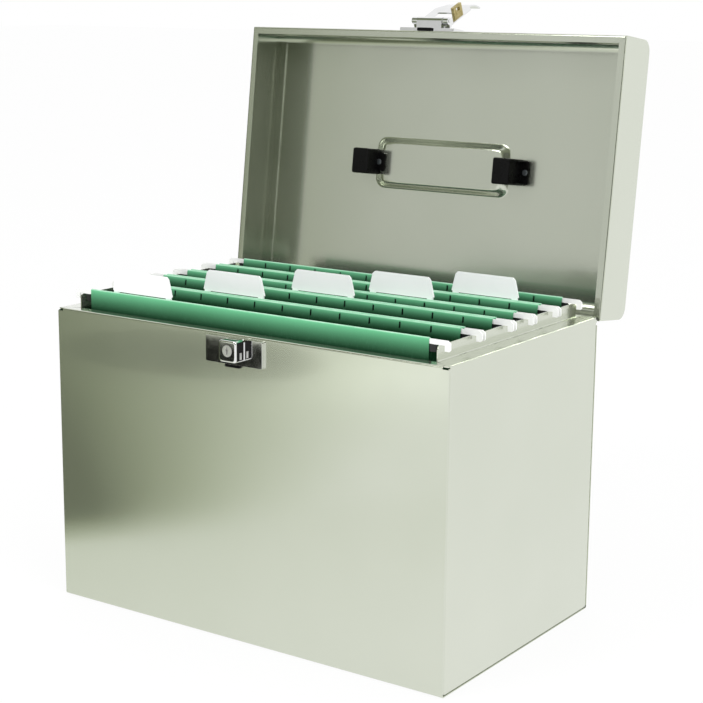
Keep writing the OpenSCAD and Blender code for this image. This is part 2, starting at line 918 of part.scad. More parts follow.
module hasp_strap() {
    half = strap_w / 2;
    tail = tail_w / 2;
    knuckle_in = riser_w / 2 + knuckle_clear;
    lip_steps = 8;
    strap_mid = strap_in - strap_t / 2;
    path = concat(
        [[strap_mid, hasp_z - 1]],
        [
            for (i = [0:lip_steps])
                let (w = lip_angle * i / lip_steps)
                [strap_mid - lip_r * (1 - cos(w)), strap_end - lip_r * sin(w)]
        ]
    );
    low = strap_end - lip_r;
    color(bright)
        hasp_pose()
            difference() {
                union() {
                    intersection() {
                        along_x(-half, half)
                            polygon(sheet(path, strap_t));
                        along_y(strap_out - lip_r, strap_in + past)
                            polygon([
                                [-half, hasp_z],
                                [half, hasp_z],
                                [half, strap_end + 3],
                                [tail, strap_end - 3],
                                [tail, low],
                                [-tail, low],
                                [-tail, strap_end - 3],
                                [-half, strap_end + 3]
                            ]);
                    }
                    both_sides() {
                        pin_x(knuckle_in, half, 2 * knuckle_r, hasp_y, hasp_z);
                        block(
                            [knuckle_in, strap_out, hasp_z - 3],
                            [half, hasp_y - 1.5, hasp_z + horn_rise]
                        );
                        block(
                            [knuckle_in, hasp_y - horn_out, hasp_z - 2],
                            [half, strap_in, hasp_z + horn_rise]
                        );
                    }
                }
                pin_x(-half - past, half + past, hasp_pin_d + 2 * pin_clear, hasp_y, hasp_z);
                // Window that the lock case comes through
                block(
                    [
                        -lock_case_w / 2 - window_clear,
                        strap_out - past,
                        lock_plate_top - lock_case_h - 1
                    ],
                    [
                        lock_case_w / 2 + window_clear,
                        strap_in + past,
                        lock_plate_top + 1
                    ]
                );
                pin_y(
                    strap_out - past, strap_in + past, 2.2,
                    staple_x + staple_t / 2, nose_low - 2.4
                );
            }
}
module hasp_staple() {
    color(brown)
        hasp_pose() {
            difference() {
                block(
                    [staple_x, strap_in, nose_low - 4],
                    [staple_x + staple_t, front_y - plate_t - 0.7, nose_high + 4]
                );
                block(
                    [staple_x - past, bolt_y - eye_clear, nose_low - eye_clear],
                    [staple_x + staple_t + past, bolt_y + bolt_t + eye_clear, nose_high + eye_clear]
                );
            }
            pin_y(strap_out, strap_in + past, 2, staple_x + staple_t / 2, nose_low - 2.4);
        }
}

// Handle
module handle_socket() {
    floor_z = lid_inside - socket_depth;
    step_z = lid_top - recess_depth - sheet_t;
    difference() {
        union() {
            translate([0, 0, floor_z])
                linear_extrude(socket_depth)
                    polygon(round_rect([socket_in, -socket_y], [socket_out, socket_y], 1.5));
            // Flange against the lid and flange over the recess
            translate([0, 0, lid_inside - flange_t])
                linear_extrude(flange_t)
                    polygon(round_rect(
                        [socket_out - 3, -socket_y + 1], [socket_out + flange_out, socket_y - 1], 1.5
                    ));
            translate([0, 0, step_z - flange_t])
                linear_extrude(flange_t)
                    polygon(round_rect(
                        [flange_start, -socket_y + 3], [socket_in + 3, socket_y - 3], 1.5
                    ));
        }
        block(
            [cavity_in, -cavity_y, floor_z + socket_wall],
            [cavity_out, cavity_y, lid_top]
        );
        recess(sheet_t + 0.1);
        block([0, -socket_y, step_z], [recess_floor, socket_y, lid_top]);
        for (p = [inner_rivet_x, outer_rivet_x])
            pin_z(floor_z, lid_top, socket_rivet_d + 2 * rivet_clear, p, 0);
        // Groove in the housing for the tail of the inner rivet
        pin_z(floor_z - past, step_z - flange_t, 2 * rivet_seat_r, inner_rivet_x, 0);
    }
}
module handle_socket_right() {
    color(plastic)
        lid_pose()
            handle_socket();
}
module handle_socket_left() {
    color(plastic)
        lid_pose()
            mirror([1, 0, 0])
                handle_socket();
}
module socket_rivets() {
    step_z = lid_top - recess_depth - sheet_t;
    color(bright)
        lid_pose()
            both_sides() {
                pin_z(step_z - flange_t, lid_top - recess_depth, socket_rivet_d, inner_rivet_x, 0);
                pin_z(
                    lid_top - recess_depth, lid_top - recess_depth + 1,
                    socket_rivet_head, inner_rivet_x, 0
                );
                pin_z(
                    step_z - flange_t - 1.5, step_z - flange_t,
                    socket_rivet_head, inner_rivet_x, 0
                );
                pin_z(lid_inside - flange_t, lid_top, socket_rivet_d, outer_rivet_x, 0);
                pin_z(lid_top, lid_top + 1, socket_rivet_head, outer_rivet_x, 0);
                pin_z(
                    lid_inside - flange_t - 1.5, lid_inside - flange_t,
                    socket_rivet_head, outer_rivet_x, 0
                );
            }
}
module carry_handle() {
    grip_z = lid_top + handle_rest;
    color(plastic)
        lid_pose() {
            along_y(-grip_w / 2, grip_w / 2)
                polygon(round_rect([-grip_len / 2, grip_z], [grip_len / 2, grip_z + grip_t], 2.5));
            both_sides()
                block(
                    [leg_x - leg_t / 2, -leg_w / 2, socket_floor + handle_rest + stop_t],
                    [leg_x + leg_t / 2, leg_w / 2, grip_z + grip_t / 2]
                );
        }
}
module handle_stops() {
    color(bright)
        lid_pose()
            both_sides()
                block(
                    [leg_x - leg_t / 2, -stop_y, socket_floor + handle_rest],
                    [leg_x + leg_t / 2, stop_y, socket_floor + handle_rest + stop_t]
                );
}

// Files
function front_bar_y(n) = hang[n - 1] + (n > 1 ? pair_y : 0);
function rear_bar_y(n) = hang[n] - (n < file_count ? pair_y : 0);
function tab_x(n) = (n - 3) * 2 * slot_pitch;
// Slots for tabs through a bar and the inner layer of its hem, not the outer layer
module slot_row(y, inward = 1) {
    ends = [y - inward * (bar_t / 2 + 0.1), y + inward * 2 * hem_r];
    for (k = [-slots_each_side:slots_each_side])
        block(
            [k * slot_pitch - slot_w / 2, min(ends), slot_z - slot_h / 2],
            [k * slot_pitch + slot_w / 2, max(ends), slot_z + slot_h / 2]
        );
}
module card(n) {
    yf = front_bar_y(n);
    yr = rear_bar_y(n);
    ym = (yf + yr) / 2;
    steps = 6;
    low = file_top - file_drop;
    hem_low = file_top - hem - 2;
    path = concat(
        [[yf + hem_r, file_top - hem]],
        [for (i = [0:steps]) [yf + hem_r * cos(180 * i / steps), fold_z + hem_r * sin(180 * i / steps)]],
        [[yf - hem_r, hem_low]],
        corner([yf - hem_r, hem_low], [ym - bottom_half, low], [ym + bottom_half, low], 1, 3),
        corner([ym - bottom_half, low], [ym + bottom_half, low], [yr + hem_r, hem_low], 1, 3),
        [[yr + hem_r, hem_low]],
        [for (i = [0:steps]) [yr + hem_r * cos(180 * i / steps), fold_z + hem_r * sin(180 * i / steps)]],
        [[yr - hem_r, file_top - hem]]
    );
    color(green)
        difference() {
            along_x(-file_w / 2, file_w / 2)
                polygon(sheet(path, card_t));
            slot_row(yf);
            slot_row(yr, -1);
        }
}
module bar(y) {
    half = bar_len / 2;
    neck = file_w / 2 - 1;
    low = bar_top - bar_h;
    color(white)
        difference() {
            along_y(y - bar_t / 2, y + bar_t / 2)
                polygon([
                    [-neck, low],
                    [neck, low],
                    [neck, rail_top],
                    [hook_from, rail_top],
                    [hook_from, rail_top - 4],
                    [half - 1, rail_top - 4],
                    [half, rail_top - 3],
                    [half, bar_top - 1.8],
                    [half - 2.2, bar_top],
                    [-half + 2.2, bar_top],
                    [-half, bar_top - 1.8],
                    [-half, rail_top - 3],
                    [-half + 1, rail_top - 4],
                    [-hook_from, rail_top - 4],
                    [-hook_from, rail_top],
                    [-neck, rail_top]
                ]);
            slot_row(y);
        }
}
module tab(n) {
    y = front_bar_y(n) + tab_y;
    x = tab_x(n);
    top = file_top + tab_h;
    color(clear)
        difference() {
            union() {
                along_y(y, y + tab_t)
                    polygon([
                        [x - tab_w / 2 + 1.5, tab_low],
                        [x + tab_w / 2 - 1.5, tab_low],
                        [x + tab_w / 2, tab_low + 1.5],
                        [x + tab_top_w / 2 + 1, top - 2],
                        [x + tab_top_w / 2 - 1, top],
                        [x - tab_top_w / 2 + 1, top],
                        [x - tab_top_w / 2 - 1, top - 2],
                        [x - tab_w / 2, tab_low + 1.5]
                    ]);
                for (s = [-1, 1]) {
                    block(
                        [x + s * slot_pitch - foot_w / 2, y, slot_z - prong_h / 2],
                        [x + s * slot_pitch + foot_w / 2, y + tab_t, tab_low + 0.5]
                    );
                    block(
                        [
                            x + s * slot_pitch - prong_w / 2,
                            front_bar_y(n) - bar_t / 2,
                            slot_z - prong_h / 2
                        ],
                        [
                            x + s * slot_pitch + prong_w / 2,
                            y + tab_t / 2,
                            slot_z + prong_h / 2
                        ]
                    );
                }
            }
            // Pocket for the label, open at the top
            block(
                [x - tab_top_w / 2 + 1.5, y + tab_wall, tab_low + 1.5],
                [x + tab_top_w / 2 - 1.5, y + tab_t - tab_wall, top + past]
            );
        }
}
module label(n) {
    y = front_bar_y(n) + tab_y + (tab_t - label_t) / 2;
    color(white)
        block(
            [tab_x(n) - tab_top_w / 2 + 2, y, tab_low + 1.5],
            [tab_x(n) + tab_top_w / 2 - 2, y + label_t, file_top + tab_h - 1]
        );
}
module file_1_card() {
    card(1);
}
module file_1_front_bar() {
    bar(front_bar_y(1));
}
module file_1_rear_bar() {
    bar(rear_bar_y(1));
}
module file_1_tab() {
    tab(1);
}
module file_1_label() {
    label(1);
}
module file_2_card() {
    card(2);
}
module file_2_front_bar() {
    bar(front_bar_y(2));
}
module file_2_rear_bar() {
    bar(rear_bar_y(2));
}
module file_2_tab() {
    tab(2);
}
module file_2_label() {
    label(2);
}
module file_3_card() {
    card(3);
}
module file_3_front_bar() {
    bar(front_bar_y(3));
}
module file_3_rear_bar() {
    bar(rear_bar_y(3));
}
module file_3_tab() {
    tab(3);
}
module file_3_label() {
    label(3);
}
module file_4_card() {
    card(4);
}
module file_4_front_bar() {
    bar(front_bar_y(4));
}
module file_4_rear_bar() {
    bar(rear_bar_y(4));
}
module file_4_tab() {
    tab(4);
}
module file_4_label() {
    label(4);
}
module file_5_card() {
    card(5);
}
module file_5_front_bar() {
    bar(front_bar_y(5));
}
module file_5_rear_bar() {
    bar(rear_bar_y(5));
}
module file_5_tab() {
    tab(5);
}
module file_5_label() {
    label(5);
}

case_wrap();
case_end_left();
case_end_right();
hinge_leaf_case();
hinge_pin();
lock_plate();
lock_case();
lock_cylinder();
lock_bolt();
lock_rivets();
lock_pad();
lid_wrap();
lid_end_left();
lid_end_right();
hinge_leaf_lid();
hasp_base();
hasp_rivets();
hasp_pin();
hasp_strap();
hasp_staple();
hasp_pad();
handle_socket_left();
handle_socket_right();
socket_rivets();
carry_handle();
handle_stops();
file_1_card();
file_1_front_bar();
file_1_rear_bar();
file_1_tab();
file_1_label();
file_2_card();
file_2_front_bar();
file_2_rear_bar();
file_2_tab();
file_2_label();
file_3_card();
file_3_front_bar();
file_3_rear_bar();
file_3_tab();
file_3_label();
file_4_card();
file_4_front_bar();
file_4_rear_bar();
file_4_tab();
file_4_label();
file_5_card();
file_5_front_bar();
file_5_rear_bar();
file_5_tab();
file_5_label();
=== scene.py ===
"""Looks of the portable file box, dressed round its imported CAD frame.

Blender works in metres. Sizes of the box are written in millimetres and made metres with MM, and
places on the studio floor are in metres. +X is to the right, +Y to the back, +Z up.
"""

import json
import math

import bmesh
import bpy
from mathutils import Matrix, Vector, noise


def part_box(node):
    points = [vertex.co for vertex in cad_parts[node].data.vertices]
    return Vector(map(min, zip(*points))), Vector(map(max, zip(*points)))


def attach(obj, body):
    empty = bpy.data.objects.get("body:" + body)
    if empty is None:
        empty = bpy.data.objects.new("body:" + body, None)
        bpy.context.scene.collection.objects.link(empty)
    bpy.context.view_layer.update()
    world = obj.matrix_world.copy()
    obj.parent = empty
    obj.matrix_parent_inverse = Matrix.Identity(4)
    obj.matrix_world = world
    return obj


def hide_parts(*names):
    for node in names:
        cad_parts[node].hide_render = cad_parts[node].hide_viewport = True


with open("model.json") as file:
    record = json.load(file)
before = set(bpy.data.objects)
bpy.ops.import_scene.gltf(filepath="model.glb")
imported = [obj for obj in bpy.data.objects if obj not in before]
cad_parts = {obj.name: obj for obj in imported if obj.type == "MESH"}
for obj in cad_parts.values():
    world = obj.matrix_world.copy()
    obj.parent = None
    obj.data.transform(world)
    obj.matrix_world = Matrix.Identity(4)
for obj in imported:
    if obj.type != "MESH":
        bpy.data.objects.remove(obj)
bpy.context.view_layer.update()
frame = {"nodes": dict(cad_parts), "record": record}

MM = 0.001

# The case: outside, sheet, and the axis of the hinge behind it
CASE_W, CASE_D, CASE_H = 360.0, 219.0, 237.0
FRONT, BACK, SIDE = -CASE_D / 2, CASE_D / 2, CASE_W / 2
SHEET = 0.8
HINGE_Y, HINGE_Z = BACK + 0.5, CASE_H - 3.65

# The lid, measured shut: opening angle, lower edge, top, bend of the sheet, and folded edges
LID_OPEN = 97.0
LID_Z = CASE_H + 0.5
LID_TOP = LID_Z + 43.0
LID_ROUND, LID_RIM, RIM_BEND, LID_FLANGE = 10.0, 6.0, 1.2, 7.0

# The finger recess: half length, half width and corner, at its edge and on its floor
RECESS = (66.0, 21.9, 9.0)
RECESS_FLOOR = (58.0, 16.5, 6.0)
RECESS_DEPTH, SEAT_X, SEAT_R = 4.0, 60.0, 2.9

# The slot for each leg of the handle: from and to in x, and half its length in y
LEG_SLOT = (68.0, 75.2, 7.6)

# The rails, and where bars hang along them, two close together between neighbouring files
FILES = range(1, 6)
RAIL_START, RAIL_RUN, RAIL_TOP = FRONT + 9.8, 201.7, CASE_H + 11.0
HANG = [RAIL_START + v * RAIL_RUN for v in (0.0184, 0.2366, 0.4547, 0.6059, 0.7919, 0.9723)]
PAIR = 2.2

# The bars: top, height and thickness, and where their white hooks begin below and above the rail
BAR_TOP, BAR_H, BAR_T = RAIL_TOP + 3.6, 10.0, 1.0
HOOK_BELOW, HOOK_ABOVE = 163.3, 153.8

# The files: width, card, height of the hem, its fold over the bar, and the slots through it
FILE_W, FILE_H, CARD_T, HEM = 312.0, 235.0, 0.5, 18.0
FOLD_Z, HEM_R = BAR_TOP - 0.4, 0.95
FILE_TOP = FOLD_Z + HEM_R + CARD_T / 2
FILE_LOW = FILE_TOP - FILE_H
SLOT_PITCH, SLOT_W, SLOT_H, SLOT_Z = 26.35, 1.6, 4.6, RAIL_TOP + 0.4

# How far below their tops the cards are darkened by painted shade, between files and on the
# foremost face of the first
CARD_SHADE, CARD_SHADE_FRONT = 11, 22

# Camera fitted to the photograph, with angles in radians, and picture and focal length in pixels
CAM_AZ, CAM_PITCH, CAM_ROLL = 0.60482026, 0.21157370, 0.00797871
CAM_PLACE = Vector((2.08938034, -2.92209035, 1.34349931)) * (CASE_W * MM)
PICTURE, FOCAL, SENSOR = 703, 1688.75521, 36

# The room in reflections, where 1 is white: its darkest on the floor, its side, front and height,
# and the spot behind the camera
ROOM_DARK, ROOM_SIDE, ROOM_FRONT, ROOM_HIGH, ROOM_SPOT = 0.13, 0.06, 0.67, 0.16, 0.10
WORLD_LEVEL = 0.98

# Dark and bright card on the floor, which reflections show: centre and radii in metres
DARK_CARD, BRIGHT_CARD = ((-0.70, -0.88), (0.20, 0.12)), ((-0.35, -1.02), (0.15, 0.22))

# Tints of the dim parts of the floor and of the room
DIM_FLOOR, DIM_ROOM = (0.86, 1.0, 0.54), (0.86, 1.0, 0.52)
WHITE_LIGHT = (1.0, 1.0, 1.0)


# Node trees


class Nodes:
    """A node tree being put together."""

    def __init__(self, tree):
        self.tree = tree
        self.nodes = tree.nodes

    def node(self, kind, **values):
        """A new node with these settings; a name that isn't a setting is one of its inputs."""
        n = self.nodes.new(kind)
        for key, value in values.items():
            if hasattr(n, key):
                setattr(n, key, value)
            else:
                n.inputs[key.replace("_", " ")].default_value = value
        return n

    def link(self, out, into):
        self.tree.links.new(out, into)

    def feed(self, value, socket):
        """Gives a socket a number, a colour or another node's output."""
        if isinstance(value, (int, float)):
            socket.default_value = value
        elif isinstance(value, tuple):
            socket.default_value = (*value, 1)
        else:
            self.link(value, socket)

    def axes(self, vector):
        """The x, y and z of a vector."""
        n = self.node("ShaderNodeSeparateXYZ")
        self.link(vector, n.inputs["Vector"])
        return n.outputs["X"], n.outputs["Y"], n.outputs["Z"]

    def spread(self, fac, low, high, start=0.0, end=1.0, kind="LINEAR"):
        """Goes from low to high while fac goes from start to end."""
        m = self.node(
            "ShaderNodeMapRange", interpolation_type=kind,
            From_Min=start, From_Max=end, To_Min=low, To_Max=high,
        )
        self.link(fac, m.inputs["Value"])
        return m.outputs["Result"]

    def math(self, kind, a, b=None):
        n = self.node("ShaderNodeMath", operation=kind)
        self.feed(a, n.inputs[0])
        if b is not None:
            self.feed(b, n.inputs[1])
        return n.outputs[0]

    def between(self, fac, a, b):
        """A number from a to b."""
        m = self.node("ShaderNodeMix", data_type="FLOAT")
        for value, socket in ((fac, m.inputs[0]), (a, m.inputs[2]), (b, m.inputs[3])):
            self.feed(value, socket)
        return m.outputs[0]

    def mix(self, fac, a, b):
        """A colour from a to b."""
        m = self.node("ShaderNodeMix", data_type="RGBA")
        for value, socket in ((fac, m.inputs[0]), (a, m.inputs[6]), (b, m.inputs[7])):
            self.feed(value, socket)
        return m.outputs[2]

    def shader(self, fac, a, b):
        """A shader from a to b."""
        m = self.node("ShaderNodeMixShader")
        for value, socket in zip((fac, a, b), m.inputs):
            self.feed(value, socket)
        return m.outputs[0]


class Finish(Nodes):
    """A material with one main shader, patterned on the piece's own coordinates."""

    def __init__(self, name):
        self.mat = bpy.data.materials.new(name)
        self.mat.use_nodes = True
        super().__init__(self.mat.node_tree)
        self.bsdf = self.nodes["Principled BSDF"]
        self.place = self.node("ShaderNodeTexCoord").outputs["Object"]

    def set(self, **values):
        for key, value in values.items():
            self.bsdf.inputs[key.replace("_", " ")].default_value = value

    def noise(self, scale, detail=2.0, roughness=0.5, stretch=None):
        n = self.node("ShaderNodeTexNoise", Scale=scale, Detail=detail, Roughness=roughness)
        place = self.place
        if stretch:
            m = self.node("ShaderNodeMapping", Scale=stretch)
            self.link(place, m.inputs["Vector"])
            place = m.outputs["Vector"]
        self.link(place, n.inputs["Vector"])
        return n.outputs["Fac"]

    def colour(self, out):
        self.link(out, self.bsdf.inputs["Base Color"])

    def rough(self, out):
        self.link(out, self.bsdf.inputs["Roughness"])

    def bump(self, layers):
        """Bumps from (height output, depth in millimetres), one on top of the other."""
        last = None
        for height, depth in layers:
            b = self.node("ShaderNodeBump", Distance=depth * MM)
            self.link(height, b.inputs["Height"])
            if last:
                self.link(last, b.inputs["Normal"])
            last = b.outputs["Normal"]
        self.link(last, self.bsdf.inputs["Normal"])


# Materials


def enamel():
    """Glossy metallic paint on sheet that is not quite flat."""
    f = Finish("sage_metallic_enamel")
    f.colour(f.mix(f.noise(7, 2), (0.578, 0.616, 0.510), (0.658, 0.688, 0.592)))
    f.rough(f.spread(f.noise(16, 3), 0.13, 0.23))
    f.set(Metallic=0.91, Coat_Weight=1.0, Coat_Roughness=0.04, Coat_IOR=1.5)
    f.bump([(f.noise(6, 0), 0.12)])
    return f.mat


def chrome():
    """Bright plate of the lock and the hasp."""
    f = Finish("polished_chrome")
    haze = f.noise(160, 4)
    f.colour(f.mix(haze, (0.76, 0.77, 0.77), (0.88, 0.88, 0.88)))
    f.rough(f.spread(haze, 0.02, 0.09))
    f.set(Metallic=1.0)
    f.bump([(f.noise(90, 1), 0.004)])
    return f.mat


def nickel():
    """Satin face of the key cylinder."""
    f = Finish("satin_nickel")
    turned = f.noise(520, 3)
    f.colour(f.mix(turned, (0.70, 0.70, 0.69), (0.82, 0.82, 0.80)))
    f.rough(f.spread(turned, 0.30, 0.46))
    f.set(Metallic=1.0)
    f.bump([(f.noise(800, 2), 0.004)])
    return f.mat


def blackened():
    """Black coated steel of the socket rivets."""
    f = Finish("blackened_steel")
    f.colour(f.mix(f.noise(400, 3), (0.10, 0.11, 0.12), (0.18, 0.20, 0.21)))
    f.rough(f.spread(f.noise(300, 3), 0.20, 0.38))
    f.set(Metallic=0.7)
    f.bump([(f.noise(900, 2), 0.006)])
    return f.mat


def zinc():
    """Plated steel of the hinge, the rivets, the bolt and the stops of the handle."""
    f = Finish("zinc_plate")
    spangle = f.node("ShaderNodeTexVoronoi", Scale=420)
    f.link(f.place, spangle.inputs["Vector"])
    grey = f.spread(spangle.outputs["Distance"], 0, 1, 0.0, 0.8)
    f.colour(f.mix(grey, (0.56, 0.57, 0.56), (0.68, 0.68, 0.65)))
    f.rough(f.spread(f.noise(210, 3), 0.26, 0.42, 0.3, 0.7))
    f.set(Metallic=1.0)
    f.bump([(f.noise(700, 2, stretch=(6, 1, 1)), 0.006)])
    return f.mat


def brass():
    """Tarnished brass of the staple."""
    f = Finish("dull_brass")
    tarnish = f.spread(f.noise(240, 4, 0.6), 0, 1, 0.35, 0.65)
    f.colour(f.mix(tarnish, (0.34, 0.28, 0.10), (0.56, 0.47, 0.22)))
    f.rough(f.spread(f.noise(320, 3), 0.28, 0.46, 0.3, 0.7))
    f.set(Metallic=0.9)
    f.bump([(f.noise(900, 2), 0.01)])
    return f.mat


def black_plastic(name, low=0.24, high=0.36, depth=0.02, scale=1500):
    """Black moulding, from its least and most roughness and the depth and scale of its grain."""
    f = Finish(name)
    f.colour(f.mix(f.noise(60, 3), (0.002, 0.002, 0.002), (0.006, 0.006, 0.006)))
    f.rough(f.spread(f.noise(180, 3), low, high, 0.3, 0.7))
    f.set(Specular_IOR_Level=0.12)
    f.bump([(f.noise(scale, 2), depth)])
    return f.mat


def card():
    """Green coated card: painted shade darkens it below its folds, where neighbouring files shade
    it; paler on the folds and where fibres show.
    """
    f = Finish("green_card")
    fibre = f.noise(900, 3, 0.6, stretch=(1, 3, 0.35))
    cloud = f.noise(14, 3)
    _, y, z = f.axes(f.place)
    base = f.mix(cloud, (0.120, 0.470, 0.230), (0.165, 0.560, 0.300))
    # The card's green in full painted shade
    shade_green = f.mix(cloud, (0.002, 0.030, 0.008), (0.005, 0.046, 0.014))

    def lit(depth):
        """How lit the card is, for its painted shade: from 0, this far below the top of the card,
        to 1 just under its top.
        """
        return f.spread(z, 0, 1, (FILE_TOP - depth) * MM, (FILE_TOP - 0.3) * MM)

    # Painted shade below the top, fading more slowly on the foremost face of the first file
    foremost = f.spread(y, 1, 0, (HANG[0] + 1) * MM, (HANG[0] + 3) * MM)
    fade = 2.4
    light = f.math("POWER", f.between(foremost, lit(CARD_SHADE), lit(CARD_SHADE_FRONT)), fade)
    flecks = f.spread(fibre, 0, 0.07, 0.52, 0.8)
    flecked = f.mix(flecks, f.mix(light, shade_green, base), (0.20, 0.50, 0.31))
    # Paler in patches along the top of each fold
    crease = f.spread(z, 0, 1, (FILE_TOP - 0.9) * MM, (FILE_TOP - 0.2) * MM)
    pale_fold = f.math("MULTIPLY", crease, f.spread(f.noise(120, 4), 0.5, 1.0, 0.3, 0.7))
    f.colour(f.mix(pale_fold, flecked, (0.46, 0.72, 0.55)))
    f.rough(f.spread(fibre, 0.40, 0.58, 0.3, 0.7))
    f.set(Specular_IOR_Level=0.2)
    f.bump([(fibre, 0.012), (f.noise(60, 3), 0.05)])
    return f.mat


def bar_plastic():
    """White hooks on a bar, painted near black short of the hooks: painted shade where the hem
    hides it and between the card and the rail.
    """
    f = Finish("white_plastic_with_painted_shade")
    x, _, z = f.axes(f.place)
    over_rail = f.spread(z, 0, 1, (RAIL_TOP - 0.15) * MM, (RAIL_TOP + 0.15) * MM)
    start = f.between(over_rail, HOOK_BELOW * MM, HOOK_ABOVE * MM)
    past = f.math("SUBTRACT", f.math("ABSOLUTE", x), start)
    on_hook = f.spread(past, 0, 1, -0.2 * MM, 0.2 * MM)
    white = f.mix(f.noise(70, 3), (0.84, 0.85, 0.83), (0.90, 0.91, 0.90))
    # Painted shade: near black on the bar short of its hooks
    f.colour(f.mix(on_hook, (0.012, 0.013, 0.013), white))
    f.rough(f.spread(f.noise(160, 2), 0.30, 0.42, 0.3, 0.7))
    f.bump([(f.noise(1200, 2), 0.006)])
    return f.mat


def tab_plastic():
    """Milky plastic of the tabs, which lets little light through."""
    f = Finish("milky_plastic")
    f.colour(f.mix(f.noise(90, 3), (0.94, 0.975, 0.96), (0.975, 0.99, 0.985)))
    f.rough(f.spread(f.noise(260, 2), 0.12, 0.22, 0.3, 0.7))
    f.set(Transmission_Weight=0.04, IOR=1.42)
    f.bump([(f.noise(220, 2), 0.008)])
    return f.mat


def paper():
    """White paper of the slips in the tabs."""
    f = Finish("white_paper")
    fibre = f.noise(1400, 3, 0.7)
    f.colour(f.mix(f.spread(fibre, 0, 1, 0.3, 0.7), (0.90, 0.92, 0.92), (0.95, 0.96, 0.95)))
    f.rough(f.spread(fibre, 0.7, 0.9, 0.3, 0.7))
    f.bump([(fibre, 0.015)])
    return f.mat


ENAMEL = enamel()
CHROME = chrome()
NICKEL = nickel()
BLACKENED = blackened()
ZINC = zinc()
BRASS = brass()
PLASTIC = black_plastic("black_plastic")
RUBBER = black_plastic("black_rubber", 0.55, 0.75, 0.03, 900)
CARD = card()
WHITE = bar_plastic()
TAB = tab_plastic()
PAPER = paper()

# The finish of each material slot, and of the nodes that differ from theirs
FINISH_OF_NODE = {"lock_cylinder": NICKEL, "socket_rivets": BLACKENED}
FINISH = {
    "paint": ENAMEL,
    "chrome": CHROME,
    "bright_steel": ZINC,
    "brass": BRASS,
    "black_plastic": PLASTIC,
    "black_rubber": RUBBER,
    "green_card": CARD,
    "white_plastic": WHITE,
    "clear_plastic": TAB,
    "white_card": PAPER,
}

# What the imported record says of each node
SLOT_OF = {s["node"]: s["material_slot"] for s in frame["record"]["subparts"]}
FINISH_OF = {n: FINISH_OF_NODE.get(n, FINISH[s]) for n, s in SLOT_OF.items()}
BODY_OF = {n: b for b, nodes in frame["record"]["behaviour"]["bodies"].items() for n in nodes}


# Mesh helpers


def new_object(name, verts, faces, material):
    mesh = bpy.data.meshes.new(name)
    mesh.from_pydata([tuple(v) for v in verts], [], faces)
    mesh.validate()
    mesh.update()
    obj = bpy.data.objects.new(name, mesh)
    bpy.context.scene.collection.objects.link(obj)
    mesh.materials.append(material)
    return obj


def bake(obj):
    """Applies the object's modifiers to its mesh."""
    graph = bpy.context.evaluated_depsgraph_get()
    mesh = bpy.data.meshes.new_from_object(obj.evaluated_get(graph))
    obj.modifiers.clear()
    old = obj.data
    obj.data = mesh
    bpy.data.meshes.remove(old)
    return obj


def smooth(obj, angle=40):
    """Shades the faces smooth, with edges sharper than the angle kept."""
    mesh = obj.data
    bm = bmesh.new()
    bm.from_mesh(mesh)
    limit = math.radians(angle)
    for f in bm.faces:
        f.smooth = True
    for e in bm.edges:
        e.smooth = len(e.link_faces) == 2 and e.calc_face_angle(0) < limit
    bm.to_mesh(mesh)
    bm.free()


def soften(obj, width, segments=2, angle=35):
    """Rounds the sharp edges of a closed solid and shades it smooth between them."""
    b = obj.modifiers.new("bevel", "BEVEL")
    b.width = width * MM
    b.segments = segments
    b.limit_method = "ANGLE"
    b.angle_limit = math.radians(angle)
    b.use_clamp_overlap = True
    bake(obj)
    smooth(obj)
    n = obj.modifiers.new("normals", "WEIGHTED_NORMAL")
    n.keep_sharp = True
    return bake(obj)


def settle(obj, node):
    """The piece stands for this CAD node, on its body."""
    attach(obj, BODY_OF[node])
    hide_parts(node)


def clean(bm):
    """Merges the corners of a CAD mesh and makes its flat faces whole."""
    bmesh.ops.remove_doubles(bm, verts=bm.verts, dist=0.002 * MM)
    bmesh.ops.dissolve_limit(
        bm, angle_limit=math.radians(1), verts=bm.verts, edges=bm.edges, delimit={"NORMAL"}
    )


def clean_copy(node):
    """A copy of a CAD node with clean faces and its finish."""
    mesh = frame["nodes"][node].data.copy()
    obj = bpy.data.objects.new(node + "_finished", mesh)
    bpy.context.scene.collection.objects.link(obj)
    bm = bmesh.new()
    bm.from_mesh(mesh)
    clean(bm)
    bm.to_mesh(mesh)
    bm.free()
    mesh.materials.clear()
    mesh.materials.append(FINISH_OF[node])
    return obj


def dressed(node, width, segments=2):
    """A clean copy of a CAD node with rounded edges, which stands for it."""
    obj = soften(clean_copy(node), width, segments)
    settle(obj, node)
    return obj


def bent(points, radii, steps):
    """A line through the points with its inner corners rounded to these radii."""
    out = [Vector(points[0])]
    for i, r in enumerate(radii, 1):
        a, b, c = (Vector(points[k]) for k in (i - 1, i, i + 1))
        u, v = (a - b).normalized(), (c - b).normalized()
        half = u.angle(v) / 2
        run = r / math.tan(half)
        centre = b + (u + v).normalized() * (r / math.sin(half))
        start, end = b + u * run - centre, b + v * run - centre
        turn = start.angle(end)
        for k in range(steps + 1):
            t = k / steps
            spot = start * math.sin((1 - t) * turn) + end * math.sin(t * turn)
            out.append(centre + spot / math.sin(turn))
    out.append(Vector(points[-1]))
    return out


def divided(line, step, marks=()):
    """The line (y, z) cut into steps, with a point at each marked (axis, value)."""
    out = [line[0]]
    for a, b in zip(line, line[1:]):
        n = max(1, math.ceil((b - a).length / step - 0.01))
        stops = {k / n for k in range(1, n + 1)}
        for axis, value in marks:
            if abs(b[axis] - a[axis]) > 1e-6:
                t = (value - a[axis]) / (b[axis] - a[axis])
                if 0.001 < t < 0.999:
                    stops.add(t)
        out += [a.lerp(b, t) for t in sorted(stops)]
    return out


